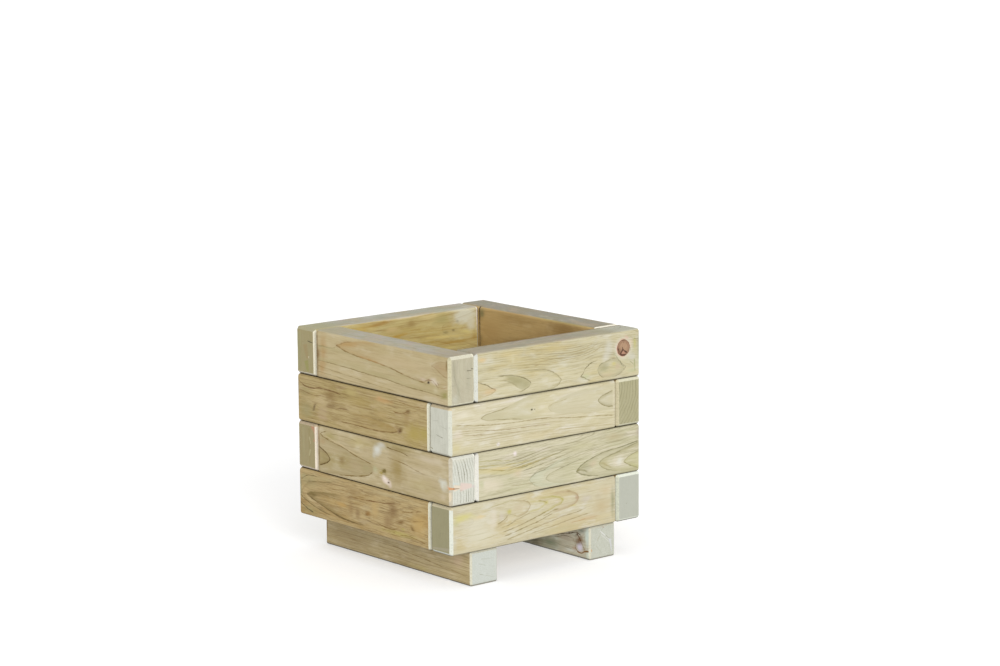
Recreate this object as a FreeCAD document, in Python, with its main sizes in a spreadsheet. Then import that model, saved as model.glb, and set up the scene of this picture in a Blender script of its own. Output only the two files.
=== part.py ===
import FreeCAD, Part
import os
import Sketcher

# Square timber planter. Four courses of four identical boards are stacked in
# a pinwheel: at every corner one board runs through and its neighbour butts
# against it, and the direction turns round from one course to the next, so
# the corners interlock. Two runners carry the walls and a slatted floor.
#
# Frame: origin on the ground under the middle of the square, +Z up, the
# front wall at -Y, the left wall at -X. Millimetres.

doc = FreeCAD.newDocument("planter")

# ---------------------------------------------------------------- dimensions
DIMS = [
    ("board_length", 300.0, "every wall board, cut length"),
    ("board_thick", 45.0, "wall thickness"),
    ("board_height", 68.0, "one course"),
    ("arris_radius", 4.5, "milled round on the long edges"),
    ("end_chamfer", 4.0, "bevel round both ends of a board"),
    ("runner_width", 48.0, "runner, across"),
    ("runner_height", 48.0, "runner, up"),
    ("runner_length", 328.0, "runner, front to back"),
    ("runner_arris", 3.0, "round on the runner's long edges"),
    ("runner_bevel", 2.5, "bevel round the runner's ends"),
    ("runner_setback", 3.5, "runner end behind the front wall's face"),
    ("left_runner_inset", 36.5, "left wall's face to left runner"),
    ("right_runner_inset", 45.5, "right wall's face to right runner"),
    ("slat_width", 45.0, "floor slat, front to back"),
    ("slat_thick", 18.0, "floor slat, up"),
    ("slat_gap", 5.0, "drainage gap beside every slat"),
    ("slat_end_gap", 2.0, "slat end to wall"),
    ("slat_arris", 2.0, "round on the slat's long edges"),
    ("corner_stagger", 10.0, "corner screw off the middle of the corner"),
    ("butt_inset", 60.0, "second screw from the butted end"),
    ("wall_screw_length", 100.0, "under the head"),
    ("wall_screw_major", 6.0, "thread crest diameter"),
    ("wall_screw_minor", 4.2, "shank and thread root diameter"),
    ("wall_head_width", 12.0, "washer head diameter"),
    ("wall_head_height", 4.0, "washer head height"),
    ("wall_sink_depth", 10.0, "counterbore depth"),
    ("wall_sink_width", 14.0, "counterbore diameter"),
    ("wall_clear_width", 6.5, "clearance hole diameter"),
    ("wall_pilot_width", 6.2, "hole that the thread fills"),
    ("wall_pilot_spare", 2.0, "pilot hole beyond the tip"),
    ("runner_screw_length", 80.0, "under the head"),
    ("runner_screw_near", 12.0, "first runner screw from the runner's inner side"),
    ("runner_screw_far", 29.0, "second runner screw from the runner's inner side"),
    ("runner_screw_dy", 6.0, "runner screws to either side of their line"),
    ("runner_back_line", 30.5, "back wall's face to the line of runner screws"),
    ("slat_screw_length", 38.0, "from the top of the head"),
    ("slat_screw_major", 4.0, "thread crest diameter"),
    ("slat_screw_minor", 2.8, "shank and thread root diameter"),
    ("slat_head_width", 8.0, "countersunk head diameter"),
    ("slat_head_height", 2.6, "countersunk head cone height"),
    ("slat_sink", 0.6, "head below the slat's face"),
    ("slat_clear_width", 4.4, "hole through the slat"),
    ("slat_pilot_width", 4.2, "hole that the thread fills"),
    ("slat_pilot_spare", 2.0, "pilot hole beyond the tip"),
]
sheet = doc.addObject("Spreadsheet::Sheet", "Dimensions")
value = {}
for row, (alias, number, note) in enumerate(DIMS, start=1):
    sheet.set("A%d" % row, alias)
    sheet.set("B%d" % row, repr(number))
    sheet.set("C%d" % row, note)
    sheet.setAlias("B%d" % row, alias)
    value[alias] = number
doc.recompute()


def d(text):
    """Expression text with each @word turned into that cell of the sheet."""
    return text.replace("@", "Dimensions.")


# --------------------------------------------------------------- small tools
def plane(body, role):
    for feature in body.Origin.OriginFeatures:
        if feature.Role == role:
            return feature
    raise RuntimeError("no " + role)


def new_body(label, rotation=0.0, where=("0 mm", "0 mm", "0 mm")):
    body = doc.addObject("PartDesign::Body", label)
    body.Label = label
    body.Placement = FreeCAD.Placement(
        FreeCAD.Vector(0, 0, 0), FreeCAD.Rotation(FreeCAD.Vector(0, 0, 1), rotation)
    )
    for axis, text in zip("xyz", where):
        body.setExpression("Placement.Base." + axis, d(text))
    return body


def new_sketch(body, name, role, lift=None):
    sketch = body.newObject("Sketcher::SketchObject", name)
    sketch.AttachmentSupport = [(plane(body, role), "")]
    sketch.MapMode = "FlatFace"
    if lift:
        sketch.setExpression("AttachmentOffset.Base.z", d(lift))
    return sketch


def rectangle(sketch, wide, tall):
    """Rectangle with its lower left corner on the sketch's origin."""
    v = FreeCAD.Vector
    a, b = 10.0, 5.0
    lines = [
        Part.LineSegment(v(0, 0, 0), v(a, 0, 0)),
        Part.LineSegment(v(a, 0, 0), v(a, b, 0)),
        Part.LineSegment(v(a, b, 0), v(0, b, 0)),
        Part.LineSegment(v(0, b, 0), v(0, 0, 0)),
    ]
    sketch.addGeometry(lines, False)
    for i in range(4):
        sketch.addConstraint(Sketcher.Constraint("Coincident", i, 2, (i + 1) % 4, 1))
    sketch.addConstraint(Sketcher.Constraint("Horizontal", 0))
    sketch.addConstraint(Sketcher.Constraint("Horizontal", 2))
    sketch.addConstraint(Sketcher.Constraint("Vertical", 1))
    sketch.addConstraint(Sketcher.Constraint("Vertical", 3))
    sketch.addConstraint(Sketcher.Constraint("Coincident", 0, 1, -1, 1))
    w = sketch.addConstraint(Sketcher.Constraint("DistanceX", 0, 1, 0, 2, a))
    h = sketch.addConstraint(Sketcher.Constraint("DistanceY", 1, 1, 1, 2, b))
    sketch.setExpression("Constraints[%d]" % w, d(wide))
    sketch.setExpression("Constraints[%d]" % h, d(tall))


def circles(sketch, spots, diameter):
    """Circles at (x, y) expressions, all of one diameter."""
    for i, (x, y) in enumerate(spots):
        sketch.addGeometry(
            Part.Circle(FreeCAD.Vector(10 + 20 * i, 10, 0), FreeCAD.Vector(0, 0, 1), 3),
            False,
        )
        cx = sketch.addConstraint(
            Sketcher.Constraint("DistanceX", -1, 1, i, 3, 10.0 + 20 * i)
        )
        cy = sketch.addConstraint(Sketcher.Constraint("DistanceY", -1, 1, i, 3, 10.0))
        cd = sketch.addConstraint(Sketcher.Constraint("Diameter", i, 6.0))
        sketch.setExpression("Constraints[%d]" % cx, d(x))
        sketch.setExpression("Constraints[%d]" % cy, d(y))
        sketch.setExpression("Constraints[%d]" % cd, d(diameter))


def pad(body, name, sketch, length):
    feature = body.newObject("PartDesign::Pad", name)
    feature.Profile = sketch
    feature.setExpression("Length", d(length))
    sketch.Visibility = False
    doc.recompute()
    return feature


def drill(body, name, spots, diameter, depth, lift=None, down=False):
    """Round holes from the plane at height lift, upwards unless down is set."""
    sketch = new_sketch(body, name + "_sketch", "XY_Plane", lift)
    circles(sketch, spots, diameter)
    before = body.Shape.Volume
    hole = body.newObject("PartDesign::Pocket", name)
    hole.Profile = sketch
    hole.Type = "Length"
    hole.setExpression("Length", d(depth))
    # A pocket cuts against its sketch's normal: Reversed makes it cut upwards.
    hole.Reversed = not down
    sketch.Visibility = False
    doc.recompute()
    if not 0.9 * before < body.Shape.Volume < before - 1.0:
        raise RuntimeError(name + " of " + body.Label + " cut the wrong amount")
    return hole


def along_x(shape, length):
    names = []
    for i, edge in enumerate(shape.Edges, start=1):
        box = edge.BoundBox
        if abs(box.XLength - length) < 1e-4 and box.YLength + box.ZLength < 1e-4:
            names.append("Edge%d" % i)
    return names


def at_ends(shape, length):
    names = []
    for i, edge in enumerate(shape.Edges, start=1):
        box = edge.BoundBox
        if box.XLength < 1e-4 and (
            abs(box.XMin) < 1e-4 or abs(box.XMin - length) < 1e-4
        ):
            names.append("Edge%d" % i)
    return names


def timber(body, length, wide, tall, radius, bevel):
    """A length of planed timber along +x from the origin: section wide (y) by
    tall (z), long edges rounded, both ends bevelled all round."""
    section = new_sketch(body, "section", "YZ_Plane")
    rectangle(section, wide, tall)
    stock = pad(body, "stock", section, length)
    long_mm = stock.Length.Value
    rounds = body.newObject("PartDesign::Fillet", "rounds")
    rounds.Base = (stock, along_x(stock.Shape, long_mm))
    rounds.setExpression("Radius", d(radius))
    doc.recompute()
    if bevel:
        bevels = body.newObject("PartDesign::Chamfer", "bevels")
        bevels.Base = (rounds, at_ends(rounds.Shape, long_mm))
        bevels.setExpression("Size", d(bevel))
        doc.recompute()
    if not 0.97 * stock.Shape.Volume < body.Shape.Volume < stock.Shape.Volume:
        raise RuntimeError("rounding %s left %.0f mm3" % (body.Label, body.Shape.Volume))


def hexagon(sketch, across):
    """Regular hexagon round the origin, for a driver's socket."""
    import math

    v = FreeCAD.Vector
    pts = [
        v(math.cos(math.radians(60 * i)), math.sin(math.radians(60 * i)), 0)
        for i in range(6)
    ]
    sketch.addGeometry(
        [Part.LineSegment(pts[i], pts[(i + 1) % 6]) for i in range(6)], False
    )
    sketch.addGeometry(Part.Circle(v(0, 0, 0), v(0, 0, 1), 1.0), True)
    for i in range(6):
        sketch.addConstraint(Sketcher.Constraint("Coincident", i, 2, (i + 1) % 6, 1))
        sketch.addConstraint(Sketcher.Constraint("PointOnObject", i, 1, 6))
    for i in range(1, 6):
        sketch.addConstraint(Sketcher.Constraint("Equal", 0, i))
    sketch.addConstraint(Sketcher.Constraint("Coincident", 6, 3, -1, 1))
    sketch.addConstraint(Sketcher.Constraint("PointOnObject", 0, 1, -1))
    size = sketch.addConstraint(Sketcher.Constraint("Diameter", 6, 2.0))
    sketch.setExpression("Constraints[%d]" % size, d(across))


def profile(sketch, points):
    """Closed profile from (radius, height) expressions, for a revolution."""
    rough = []
    for r, z in points:
        rough.append(FreeCAD.Vector(number(r), number(z), 0))
    n = len(points)
    for i in range(n):
        sketch.addGeometry(Part.LineSegment(rough[i], rough[(i + 1) % n]), False)
    for i in range(n):
        sketch.addConstraint(Sketcher.Constraint("Coincident", i, 2, (i + 1) % n, 1))
    for i, (r, z) in enumerate(points):
        if r == "0":
            sketch.addConstraint(Sketcher.Constraint("PointOnObject", i, 1, -2))
        else:
            c = sketch.addConstraint(
                Sketcher.Constraint("DistanceX", -1, 1, i, 1, rough[i].x)
            )
            sketch.setExpression("Constraints[%d]" % c, d(r))
        if z == "0":
            sketch.addConstraint(Sketcher.Constraint("PointOnObject", i, 1, -1))
        else:
            c = sketch.addConstraint(
                Sketcher.Constraint("DistanceY", -1, 1, i, 1, rough[i].y)
            )
            sketch.setExpression("Constraints[%d]" % c, d(z))


def number(text):
    """Value in millimetres of a plain arithmetic expression on the sheet."""
    probe = doc.getObject("Probe") or doc.addObject("App::FeaturePython", "Probe")
    if "reading" not in probe.PropertiesList:
        probe.addProperty("App::PropertyFloat", "reading")
    probe.setExpression("reading", d(text))
    probe.recompute()
    result = probe.reading
    probe.setExpression("reading", None)
    return result


def spin(body, name, sketch):
    feature = body.newObject("PartDesign::Revolution", name)
    feature.Profile = sketch
    feature.ReferenceAxis = (sketch, ["V_Axis"])
    feature.Angle = 360.0
    sketch.Visibility = False
    doc.recompute()
    return feature


def washer_screw(label, length):
    """Washer-head timber screw, head at the bottom, thread upwards: the face
    under the head is at z = 0 and the tip at z = length."""
    body = new_body(label)
    shape = new_sketch(body, "outline", "XZ_Plane")
    profile(
        shape,
        [
            ("0", "-@wall_head_height"),
            ("@wall_head_width * 0.32", "-@wall_head_height"),
            ("@wall_head_width * 0.46", "-@wall_head_height * 0.45"),
            ("@wall_head_width / 2", "-@wall_head_height * 0.3"),
            ("@wall_head_width / 2", "0"),
            ("@wall_screw_minor / 2", "0"),
            ("@wall_screw_minor / 2", length + " - @wall_screw_major"),
            ("0", length),
        ],
    )
    core = spin(body, "core", shape)
    tooth = new_sketch(body, "tooth", "XZ_Plane")
    # One thread ridge, just below the tip's cone.
    top = length + " - @wall_screw_major"
    profile(
        tooth,
        [
            ("@wall_screw_minor / 2 - 0.4", top + " - 2.2"),
            ("@wall_screw_major / 2", top + " - 1.3"),
            ("@wall_screw_minor / 2 - 0.4", top + " - 0.4"),
        ],
    )
    ridge = spin(body, "ridge", tooth)
    rows = body.newObject("PartDesign::LinearPattern", "thread")
    rows.Originals = [ridge]
    rows.Direction = (plane(body, "Z_Axis"), [""])
    rows.Reversed = True
    rows.Length = 48.0
    rows.Occurrences = 17
    body.Tip = rows
    doc.recompute()
    socket = new_sketch(body, "socket", "XY_Plane", "-@wall_head_height")
    hexagon(socket, "@wall_head_width * 0.46")
    before = body.Shape.Volume
    cut = body.newObject("PartDesign::Pocket", "drive")
    cut.Profile = socket
    cut.Type = "Length"
    cut.setExpression("Length", d("@wall_head_height * 0.7"))
    cut.Reversed = True
    socket.Visibility = False
    doc.recompute()
    if not body.Shape.Volume < before - 1.0:
        raise RuntimeError("no drive socket in " + label)
    return body


def countersunk_screw(label):
    """Countersunk screw, head at the top (z = 0), thread downwards."""
    body = new_body(label)
    shape = new_sketch(body, "outline", "XZ_Plane")
    profile(
        shape,
        [
            ("0", "0"),
            ("@slat_head_width / 2", "0"),
            ("@slat_head_width / 2", "-0.3"),
            ("@slat_screw_minor / 2", "-@slat_head_height"),
            ("@slat_screw_minor / 2", "-@slat_screw_length + @slat_screw_major"),
            ("0", "-@slat_screw_length"),
        ],
    )
    spin(body, "core", shape)
    tooth = new_sketch(body, "tooth", "XZ_Plane")
    low = "-@slat_screw_length + @slat_screw_major"
    profile(
        tooth,
        [
            ("@slat_screw_minor / 2 - 0.3", low + " + 0.3"),
            ("@slat_screw_major / 2", low + " + 0.9"),
            ("@slat_screw_minor / 2 - 0.3", low + " + 1.5"),
        ],
    )
    ridge = spin(body, "ridge", tooth)
    rows = body.newObject("PartDesign::LinearPattern", "thread")
    rows.Originals = [ridge]
    rows.Direction = (plane(body, "Z_Axis"), [""])
    rows.Length = 18.0
    rows.Occurrences = 10
    body.Tip = rows
    doc.recompute()
    socket = new_sketch(body, "socket", "XY_Plane")
    hexagon(socket, "@slat_head_width * 0.46")
    before = body.Shape.Volume
    cut = body.newObject("PartDesign::Pocket", "drive")
    cut.Profile = socket
    cut.Type = "Length"
    cut.setExpression("Length", d("@slat_head_height * 0.6"))
    socket.Visibility = False
    doc.recompute()
    if not body.Shape.Volume < before - 0.3:
        raise RuntimeError("no drive socket in " + label)
    return body


def group(label, master, spots):
    """One node holding a separate solid of the master at every spot."""
    links = []
    for i, (x, y, z) in enumerate(spots, start=1):
        link = doc.addObject("App::Link", "%s_at_%d" % (label, i))
        link.LinkedObject = master
        link.LinkTransform = False
        link.setExpression("Placement.Base.x", d(x))
        link.setExpression("Placement.Base.y", d(y))
        link.setExpression("Placement.Base.z", d(z))
        links.append(link)
    doc.recompute()
    bunch = doc.addObject("Part::Compound", label)
    bunch.Label = label
    bunch.Links = links
    doc.recompute()
    return bunch


nodes = []

# ------------------------------------------------------------- the wall boards
# Half the outside width is (board_length + board_thick) / 2.
HALF = "(@board_length + @board_thick) / 2"
# Odd courses turn anticlockwise seen from above: a board's through end is at
# its left hand end seen from outside. Its own y = 0 is the outer face.
ODD = {
    "front": (0.0, "-" + HALF, "-" + HALF),
    "right": (90.0, HALF, "-" + HALF),
    "back": (180.0, HALF, HALF),
    "left": (270.0, "-" + HALF, HALF),
}
# Even courses turn the other way, and a board's own y = 0 is the inner face.
EVEN = {
    "front": (180.0, HALF, "-" + HALF + " + @board_thick"),
    "right": (270.0, HALF + " - @board_thick", HALF),
    "back": (0.0, "-" + HALF, HALF + " - @board_thick"),
    "left": (90.0, "-" + HALF + " + @board_thick", "-" + HALF),
}
LEFT_RUNNER = "(@left_runner_inset + @runner_width / 2)"  # from the left face
RIGHT_RUNNER = "(@right_runner_inset + @runner_width / 2)"  # from the right face
WIDE = "(@board_length + @board_thick)"
# Inner sides of the runners, from the left wall's face.
LEFT_INNER = "(@left_runner_inset + @runner_width)"
RIGHT_INNER = "(" + WIDE + " - @right_runner_inset - @runner_width)"
MID = "@board_thick / 2"
BITE = "@wall_sink_depth + @wall_screw_length - @board_height"

for course in (1, 2, 3, 4):
    odd = course % 2 == 1
    for side, (turn, x, y) in (ODD if odd else EVEN).items():
        body = new_body(
            "course_%d_%s_board" % (course, side),
            turn,
            (x, y, "@runner_height + %d * @board_height" % (course - 1)),
        )
        timber(
            body,
            "@board_length",
            "@board_thick",
            "@board_height",
            "@arris_radius",
            "@end_chamfer",
        )
        if course < 4:
            # Two screws go up through each board into the course above: one
            # in the corner that it runs through, one near its butted end.
            own = [
                (
                    MID + " - @corner_stagger",
                    MID + (" + " if odd else " - ") + "@corner_stagger",
                ),
                ("@board_length - @butt_inset", MID),
            ]
            drill(body, "clear", own, "@wall_clear_width", "@board_height")
            drill(body, "sink", own, "@wall_sink_width", "@wall_sink_depth")
        if course > 1:
            # Pilot holes that the screws from the course below end in.
            theirs = [
                (
                    MID + " + @corner_stagger",
                    MID + (" - " if odd else " + ") + "@corner_stagger",
                ),
                ("@board_thick + @butt_inset", MID),
            ]
            drill(
                body,
                "pilot",
                theirs,
                "@wall_pilot_width",
                BITE + " + @wall_pilot_spare",
            )
        if course == 1 and side in ("front", "back"):
            # Pilot holes for the runner screws, two at each crossing. The
            # back board is turned half round, so its own axes are reversed.
            spots = []
            for across in (
                LEFT_INNER + " - @runner_screw_%s",
                RIGHT_INNER + " + @runner_screw_%s",
            ):
                for which, along in (("near", "@runner_screw_dy"), ("far", "-@runner_screw_dy")):
                    if side == "front":
                        spots.append((across % which, MID + " + (" + along + ")"))
                    else:
                        spots.append(
                            (
                                WIDE + " - (" + across % which + ")",
                                "@runner_back_line - (" + along + ")",
                            )
                        )
            drill(
                body,
                "runner_pilot",
                spots,
                "@wall_pilot_width",
                "@wall_sink_depth + @runner_screw_length - @runner_height"
                " + @wall_pilot_spare",
            )
        nodes.append(body)

# ------------------------------------------------------------------ the runners
# A runner's own x runs towards the back and its own y towards the left, so
# its own y = 0 is its right hand side. Its front end is at own x = 0.
FRONT_BOARD = "(" + MID + " - @runner_setback)"  # lines of screws, own x
BACK_BOARD = "(" + WIDE + " - @runner_back_line - @runner_setback)"
SLATS = 5
SLAT_Y = [
    "(@board_thick + @slat_gap + @slat_width / 2 + %d * (@slat_width + @slat_gap))" % i
    for i in range(SLATS)
]  # each slat's middle, behind the front wall's face
RUN_MID = "@runner_width / 2"
for label, x in (
    ("left_runner", "-" + HALF + " + @left_runner_inset + @runner_width"),
    ("right_runner", HALF + " - @right_runner_inset"),
):
    body = new_body(label, 90.0, (x, "-" + HALF + " + @runner_setback", "0 mm"))
    timber(
        body,
        "@runner_length",
        "@runner_width",
        "@runner_height",
        "@runner_arris",
        "@runner_bevel",
    )
    # At each end two screws go up into the wall, set towards the inner side.
    across = "@runner_screw_%s"
    if label == "right_runner":
        across = "@runner_width - @runner_screw_%s"
    spots = []
    for end in (FRONT_BOARD, BACK_BOARD):
        spots.append((end + " + @runner_screw_dy", across % "near"))
        spots.append((end + " - @runner_screw_dy", across % "far"))
    drill(body, "clear", spots, "@wall_clear_width", "@runner_height")
    drill(body, "sink", spots, "@wall_sink_width", "@wall_sink_depth")
    drill(
        body,
        "slat_pilot",
        [(y + " - @runner_setback", RUN_MID) for y in SLAT_Y],
        "@slat_pilot_width",
        "@slat_screw_length + @slat_sink - @slat_thick + @slat_pilot_spare",
        lift="@runner_height",
        down=True,
    )
    nodes.append(body)

# --------------------------------------------------------------- the floor slats
for i in range(SLATS):
    body = new_body(
        "floor_slat_%d" % (i + 1),
        0.0,
        (
            "-" + HALF + " + @board_thick + @slat_end_gap",
            "-" + HALF + " + " + SLAT_Y[i] + " - @slat_width / 2",
            "@runner_height",
        ),
    )
    timber(
        body,
        "@board_length - @board_thick - 2 * @slat_end_gap",
        "@slat_width",
        "@slat_thick",
        "@slat_arris",
        None,
    )
    spots = [
        (LEFT_RUNNER + " - @board_thick - @slat_end_gap", "@slat_width / 2"),
        (
            WIDE + " - " + RIGHT_RUNNER + " - @board_thick - @slat_end_gap",
            "@slat_width / 2",
        ),
    ]
    drill(
        body, "clear", spots, "@slat_clear_width", "@slat_thick", "@slat_thick", True
    )
    drill(
        body,
        "countersink",
        spots,
        "@slat_head_width + 0.6",
        "@slat_head_height + @slat_sink",
        "@slat_thick",
        True,
    )
    nodes.append(body)

# ------------------------------------------------------------------- the screws
wall_screw = washer_screw("wall_screw_master", "@wall_screw_length")
runner_screw = washer_screw("runner_screw_master", "@runner_screw_length")
slat_screw = countersunk_screw("slat_screw_master")


def turned(x, y, k):
    """Expressions for the point (x, y) turned k quarter turns about +Z."""
    return [(x, y), ("-(" + y + ")", x), ("-(" + x + ")", "-(" + y + ")"), (y, "-(" + x + ")")][k]


FAR = "(" + HALF + " - " + MID + " + @corner_stagger)"
NEAR = "(" + HALF + " - " + MID + " - @corner_stagger)"
LINE = "(" + HALF + " - " + MID + ")"
BUTT = "(" + HALF + " - @board_thick - @butt_inset)"
for course in (1, 2, 3):
    z = "@runner_height + %d * @board_height + @wall_sink_depth" % (course - 1)
    spots = []
    for k in range(4):
        if course % 2 == 1:
            corner = turned("-" + FAR, "-" + NEAR, k)
            butt = turned(BUTT, "-" + LINE, k)
        else:
            corner = turned("-" + NEAR, "-" + FAR, k)
            butt = turned("-" + BUTT, "-" + LINE, k)
        spots.append(corner + (z,))
        spots.append(butt + (z,))
    nodes.append(group("course_%d_screws" % course, wall_screw, spots))

LEFT_X = "(-" + HALF + " + " + LEFT_RUNNER + ")"
RIGHT_X = "(" + HALF + " - " + RIGHT_RUNNER + ")"
spots = []
for across in (
    "-" + HALF + " + " + LEFT_INNER + " - @runner_screw_%s",
    "-" + HALF + " + " + RIGHT_INNER + " + @runner_screw_%s",
):
    for y in ("-" + LINE, "(" + HALF + " - @runner_back_line)"):
        spots.append((across % "near", y + " + @runner_screw_dy", "@wall_sink_depth"))
        spots.append((across % "far", y + " - @runner_screw_dy", "@wall_sink_depth"))
nodes.append(group("runner_screws", runner_screw, spots))

spots = []
for y in SLAT_Y:
    for centre in (LEFT_X, RIGHT_X):
        spots.append(
            (
                centre,
                "-" + HALF + " + " + y,
                "@runner_height + @slat_thick - @slat_sink",
            )
        )
nodes.append(group("floor_screws", slat_screw, spots))

# ------------------------------------------------------------ checks and export
doc.recompute()
for obj in doc.Objects:
    state = [str(s) for s in obj.State]
    if "Invalid" in state or "Error" in state:
        raise RuntimeError("%s (%s) is %s" % (obj.Name, obj.Label, state))
for node in nodes:
    shape = node.Shape
    if shape.isNull() or not shape.isValid() or not shape.Solids:
        raise RuntimeError("%s has no valid shape" % node.Label)

os.makedirs("parts", exist_ok=True)
for node in nodes:
    node.Shape.exportStep("parts/%s.step" % node.Label)
    box = node.Shape.BoundBox
    print(
        "%-22s solids %2d  x %7.1f %7.1f  y %7.1f %7.1f  z %6.1f %6.1f  %9.0f mm3"
        % (
            node.Label,
            len(node.Shape.Solids),
            box.XMin,
            box.XMax,
            box.YMin,
            box.YMax,
            box.ZMin,
            box.ZMax,
            node.Shape.Volume,
        )
    )
print(len(nodes), "nodes")
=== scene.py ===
import math

import bpy
import numpy as np
from mathutils import Matrix, Vector


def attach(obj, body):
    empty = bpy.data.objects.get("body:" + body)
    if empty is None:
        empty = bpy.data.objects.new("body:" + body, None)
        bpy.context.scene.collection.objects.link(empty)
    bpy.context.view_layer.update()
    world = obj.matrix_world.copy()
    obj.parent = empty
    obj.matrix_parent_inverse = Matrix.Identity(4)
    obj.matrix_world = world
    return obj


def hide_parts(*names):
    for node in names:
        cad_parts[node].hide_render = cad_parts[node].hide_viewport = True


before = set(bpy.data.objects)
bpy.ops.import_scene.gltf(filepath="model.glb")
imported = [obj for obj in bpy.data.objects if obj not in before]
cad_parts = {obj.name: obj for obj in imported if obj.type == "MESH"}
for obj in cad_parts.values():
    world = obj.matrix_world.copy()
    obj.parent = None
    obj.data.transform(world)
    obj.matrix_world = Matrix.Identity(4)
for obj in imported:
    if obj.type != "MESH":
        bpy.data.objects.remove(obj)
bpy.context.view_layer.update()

# ------------------------------------------------------------------ dimensions
# Millimetres, as in the construction model. u runs along a timber, p up, and
# q inwards from the planter's outside face.
LENGTH, THICK, HIGH = 300.0, 45.0, 68.0
HALF = (LENGTH + THICK) / 2
RUNNER = 48.0
ARRIS, BEVEL = 4.5, 4.0
SLAT_W, SLAT_T, SLAT_GAP = 45.0, 18.0, 5.0


def srgb(r, g, b):
    """Linear colour from 0-255 display values."""
    out = []
    for v in (r, g, b):
        v = v / 255.0
        out.append(v / 12.92 if v <= 0.04045 else ((v + 0.055) / 1.055) ** 2.4)
    return tuple(out)


# ----------------------------------------------------------------------- noise
def _hash(ix, iy, iz, seed):
    h = (
        ix.astype(np.uint32) * np.uint32(374761393)
        + iy.astype(np.uint32) * np.uint32(668265263)
        + iz.astype(np.uint32) * np.uint32(2147483647)
        + np.uint32((seed * 362437 + 911) % 4294967295)
    )
    h = (h ^ (h >> np.uint32(13))) * np.uint32(1274126177)
    h = (h ^ (h >> np.uint32(16))) * np.uint32(2246822519)
    return h ^ (h >> np.uint32(15))


def perlin(p, seed=0):
    """Gradient noise at the points p (N x 3), about -1 to 1."""
    p = np.asarray(p, float)
    base = np.floor(p)
    f = p - base
    i = base.astype(np.int64) + 100000
    w = f * f * f * (f * (f * 6 - 15) + 10)
    total = np.zeros(len(p))
    for dx in (0, 1):
        for dy in (0, 1):
            for dz in (0, 1):
                h = _hash(i[:, 0] + dx, i[:, 1] + dy, i[:, 2] + dz, seed)
                a = (h & np.uint32(1023)).astype(float) / 1024 * 2 * math.pi
                z = ((h >> np.uint32(10)) & np.uint32(1023)).astype(float) / 511.5 - 1
                s = np.sqrt(np.maximum(0, 1 - z * z))
                dot = (
                    s * np.cos(a) * (f[:, 0] - dx)
                    + s * np.sin(a) * (f[:, 1] - dy)
                    + z * (f[:, 2] - dz)
                )
                wx = w[:, 0] if dx else 1 - w[:, 0]
                wy = w[:, 1] if dy else 1 - w[:, 1]
                wz = w[:, 2] if dz else 1 - w[:, 2]
                total += dot * wx * wy * wz
    return total * 1.6


def fbm(p, seed=0, octaves=3):
    total, amp, freq = np.zeros(len(p)), 1.0, 1.0
    for k in range(octaves):
        total += amp * perlin(np.asarray(p) * freq, seed + 17 * k)
        amp *= 0.5
        freq *= 2.03
    return total


def line_noise(x, seed):
    x = np.atleast_1d(np.asarray(x, float))
    return perlin(np.stack([x, np.full(len(x), 0.37), np.full(len(x), 0.71)], 1), seed)


def curve_through(points, x):
    """Smooth curve through (x, y) control points, flat beyond the ends."""
    xs = np.array([a for a, _ in points], float)
    ys = np.array([b for _, b in points], float)
    if len(xs) == 1:
        return np.full(len(x), ys[0])
    m = np.gradient(ys, xs)
    x = np.asarray(x, float)
    k = np.clip(np.searchsorted(xs, x) - 1, 0, len(xs) - 2)
    h = xs[k + 1] - xs[k]
    t = np.clip((x - xs[k]) / h, 0, 1)
    y = (
        (2 * t**3 - 3 * t**2 + 1) * ys[k]
        + (t**3 - 2 * t**2 + t) * h * m[k]
        + (-2 * t**3 + 3 * t**2) * ys[k + 1]
        + (t**3 - t**2) * h * m[k + 1]
    )
    y += np.where(x < xs[0], (x - xs[0]) * m[0], 0)
    y += np.where(x > xs[-1], (x - xs[-1]) * m[-1], 0)
    return y


# ------------------------------------------------------------------ the timber
def section_loop(wide, tall, radius, inset, n_arc=6, step=2.6):
    """Rounded rectangle, anticlockwise seen from -u with b right and c up.
    radius is one value a corner. Returns points (N x 2) and outward normals."""
    nb = max(4, int(round((wide - 2 * ARRIS) / step)))
    nc = max(4, int(round((tall - 2 * ARRIS) / step)))
    pts, nrm = [], []
    corners = [
        (wide, 0.0, -90, 1, -1),
        (wide, tall, 0, 1, 1),
        (0.0, tall, 90, -1, 1),
        (0.0, 0.0, 180, -1, -1),
    ]
    arcs = []
    for (bx, cy, start, sx, sy), r in zip(corners, radius):
        cx, cz = bx - sx * r, cy - sy * r
        arc, an = [], []
        for k in range(n_arc + 1):
            a = math.radians(start + 90.0 * k / n_arc)
            d = (math.cos(a), math.sin(a))
            arc.append((cx + r * d[0], cz + r * d[1]))
            an.append(d)
        arcs.append((arc, an))
    counts = [nc, nb, nc, nb]
    sides = [(1, 0), (0, 1), (-1, 0), (0, -1)]
    for k in range(4):
        arc, an = arcs[k]
        pts += arc
        nrm += an
        a, b = np.array(arc[-1]), np.array(arcs[(k + 1) % 4][0][0])
        for j in range(1, counts[k]):
            pts.append(tuple(a + (b - a) * j / counts[k]))
            nrm.append(sides[k])
    pts, nrm = np.array(pts), np.array(nrm, float)
    return pts - nrm * inset, nrm


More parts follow.
